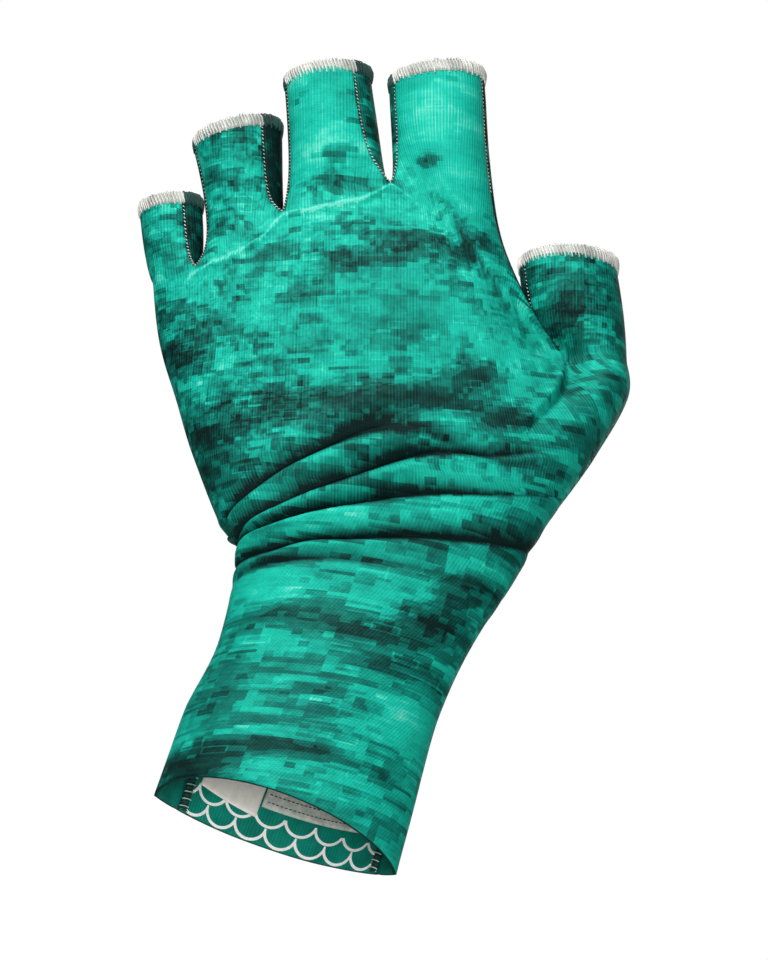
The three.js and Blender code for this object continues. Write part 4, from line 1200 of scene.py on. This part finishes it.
def woven(name, colour, dark, pitch):
    """Woven tape: crossing threads as two sines on the patch's own map, uneven in colour, with painted shade
    where the weave lies low.
    """
    material, tree, shader = principled(name)
    vector = cloth_vector(tree)
    over, up, _ = axes(vector)
    warp = math("SINE", math("MULTIPLY", over, 2 * np.pi / pitch))
    weft = math("SINE", math("MULTIPLY", math("ADD", up, math("MULTIPLY", over, 0.5)), 2 * np.pi / pitch))
    weave = math("MULTIPLY", warp, weft)
    shade = blend(ramp(noise(vector, 0.5, 4.0, 0.6), 0.35, 0.7), colour, dark)
    # painted shade: darker where the weave lies low
    shade = blend(ramp(weave, -1.0, 1.0, 0.25, 0.0), shade, dark)
    link(shade, shader["Base Color"])
    add_bump(shader, weave, 0.4, 0.1)
    shader["Roughness"].default_value = 0.7
    return material


label_end = LABEL_START + LABEL_WIDTH * ROUND_PER_MM
tape_start = label_end + 2 * SEWN_GAP * ROUND_PER_MM
tape_top = TAPE_INSET + TAPE_WIDTH
pale_tape = woven("pale_tape", srgb(222, 224, 214), srgb(172, 178, 168), 0.7)
tape = patch_piece("cuff_tape_woven", np.linspace(tape_start, TAPE_END, 61),
                   np.linspace(TAPE_INSET, tape_top, 13), TAPE_THICKNESS, 0.0, pale_tape)
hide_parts("cuff_tape")

TAPE_STITCH_PITCH, TAPE_STITCH_HALF = 1.35, 0.36
TAPE_ROWS = (TAPE_INSET + 1.6, TAPE_INSET + 3.8, tape_top - 1.4)
dark_thread = thread_material("dark_thread", srgb(44, 46, 40), srgb(24, 28, 26))
v = np.linspace(-1, 1, 5)[None]
row_u = np.arange(tape_start + 0.03, TAPE_END - 0.02, TAPE_STITCH_PITCH * ROUND_PER_MM)
stitch_u = row_u[:, None] + TAPE_STITCH_HALF * v * ROUND_PER_MM
arch = TAPE_THICKNESS + 0.12 - 0.16 * v ** 2 + 0 * stitch_u
rows = np.concatenate([inside_point(stitch_u, np.full(stitch_u.shape, z), arch) for z in TAPE_ROWS])
tape_stitches = thread_piece("cuff_tape_stitches", rows, np.broadcast_to(UPWARDS, rows.shape), 0.16, dark_thread)


# Label: a blank white woven label beside the tape, sewn in along its upper edge, its lower end a little free.
LABEL_THICKNESS = 0.7
label_z = np.linspace(tape_top - LABEL_HEIGHT, tape_top, 21)
label = patch_piece("blank_label_woven", np.linspace(LABEL_START, label_end, 25), label_z, LABEL_THICKNESS,
                    LABEL_THICKNESS * smooth((tape_top - label_z - 3) / 12)[None],
                    woven("white_label", srgb(252, 247, 240), srgb(240, 233, 224), 0.45), slant=LABEL_SLANT)
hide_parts("size_label")


# Inside seams: the cuff's side seams are overlocked inside, where the two cut edges lie together against the
# palm side as a narrow flap, wound with dark and pale thread.
FLAP_WIDTH, FLAP_THICKNESS, FLAP_LIFT = 2.8, 0.6, 0.12
FLAP_PITCH, WOUND_PITCH, WOUND_THICK = 1.2, 1.1, 0.13
FLAP_PROFILE = np.array([(0, 0.1), (0.15, 0.7), (0.5, 0.95), (0.85, 0.7), (1, 0.1), (0.85, -0.1), (0.15, -0.1)])
WOUND_PROFILE = np.array([  # over the flap, off the cloth, and along the seam
    (-0.05, 0.0, -0.5), (0.0, 0.75, -0.4), (0.3, 1.02, -0.15), (0.6, 1.02, 0.1), (0.95, 0.8, 0.35),
    (1.08, 0.3, 0.45), (1.0, -0.05, 0.5)])
flap_knit = plain_knit("seam_flap_knit", srgb(4, 84, 72), srgb(3, 56, 50))


def flap_frame(line, pitch, towards):
    """Every pitch along a seam, inside the cloth: its place, and the ways off, along and over it."""
    places, number = resampled(skin[line], pitch)
    normal = sampled(outwards[line], number)
    way = unit(np.gradient(places, axis=0))
    over = np.cross(normal, way)
    over *= np.sign(over[:, 0].mean()) * towards
    return (places - normal * (CLOTH + FLAP_LIFT))[:, None], -normal[:, None], way[:, None], over[:, None]


for name, seam, towards, column in (("little", 0, 1, palm_first), ("thumb", 1, -1, palm_last)):
    line = side_seams[seam][:int(np.searchsorted(hand_along[:, column], 1.0))]
    base, off, way, over = flap_frame(line, FLAP_PITCH, towards)
    rings = base + over * FLAP_PROFILE[:, :1] * FLAP_WIDTH + off * FLAP_PROFILE[:, 1:] * FLAP_THICKNESS
    flap = swept_piece(name + "_seam_flap", rings, FLAP_PROFILE[None, :, 0] * FLAP_WIDTH,
                       (np.arange(len(rings)) * FLAP_PITCH)[:, None], flap_knit, towards < 0)
    base, off, way, over = flap_frame(line, WOUND_PITCH, towards)
    paths = (base + over * WOUND_PROFILE[:, :1] * FLAP_WIDTH + way * WOUND_PROFILE[:, 2:]
             + off * WOUND_PROFILE[:, 1:2] * (FLAP_THICKNESS + 0.15))
    for tag, first, material in (("dark", 0, dark_thread), ("pale", 1, thread)):
        threads = thread_piece(f"{name}_seam_{tag}_thread", paths[first::2],
                               np.broadcast_to(way, paths.shape)[first::2], WOUND_THICK, material)
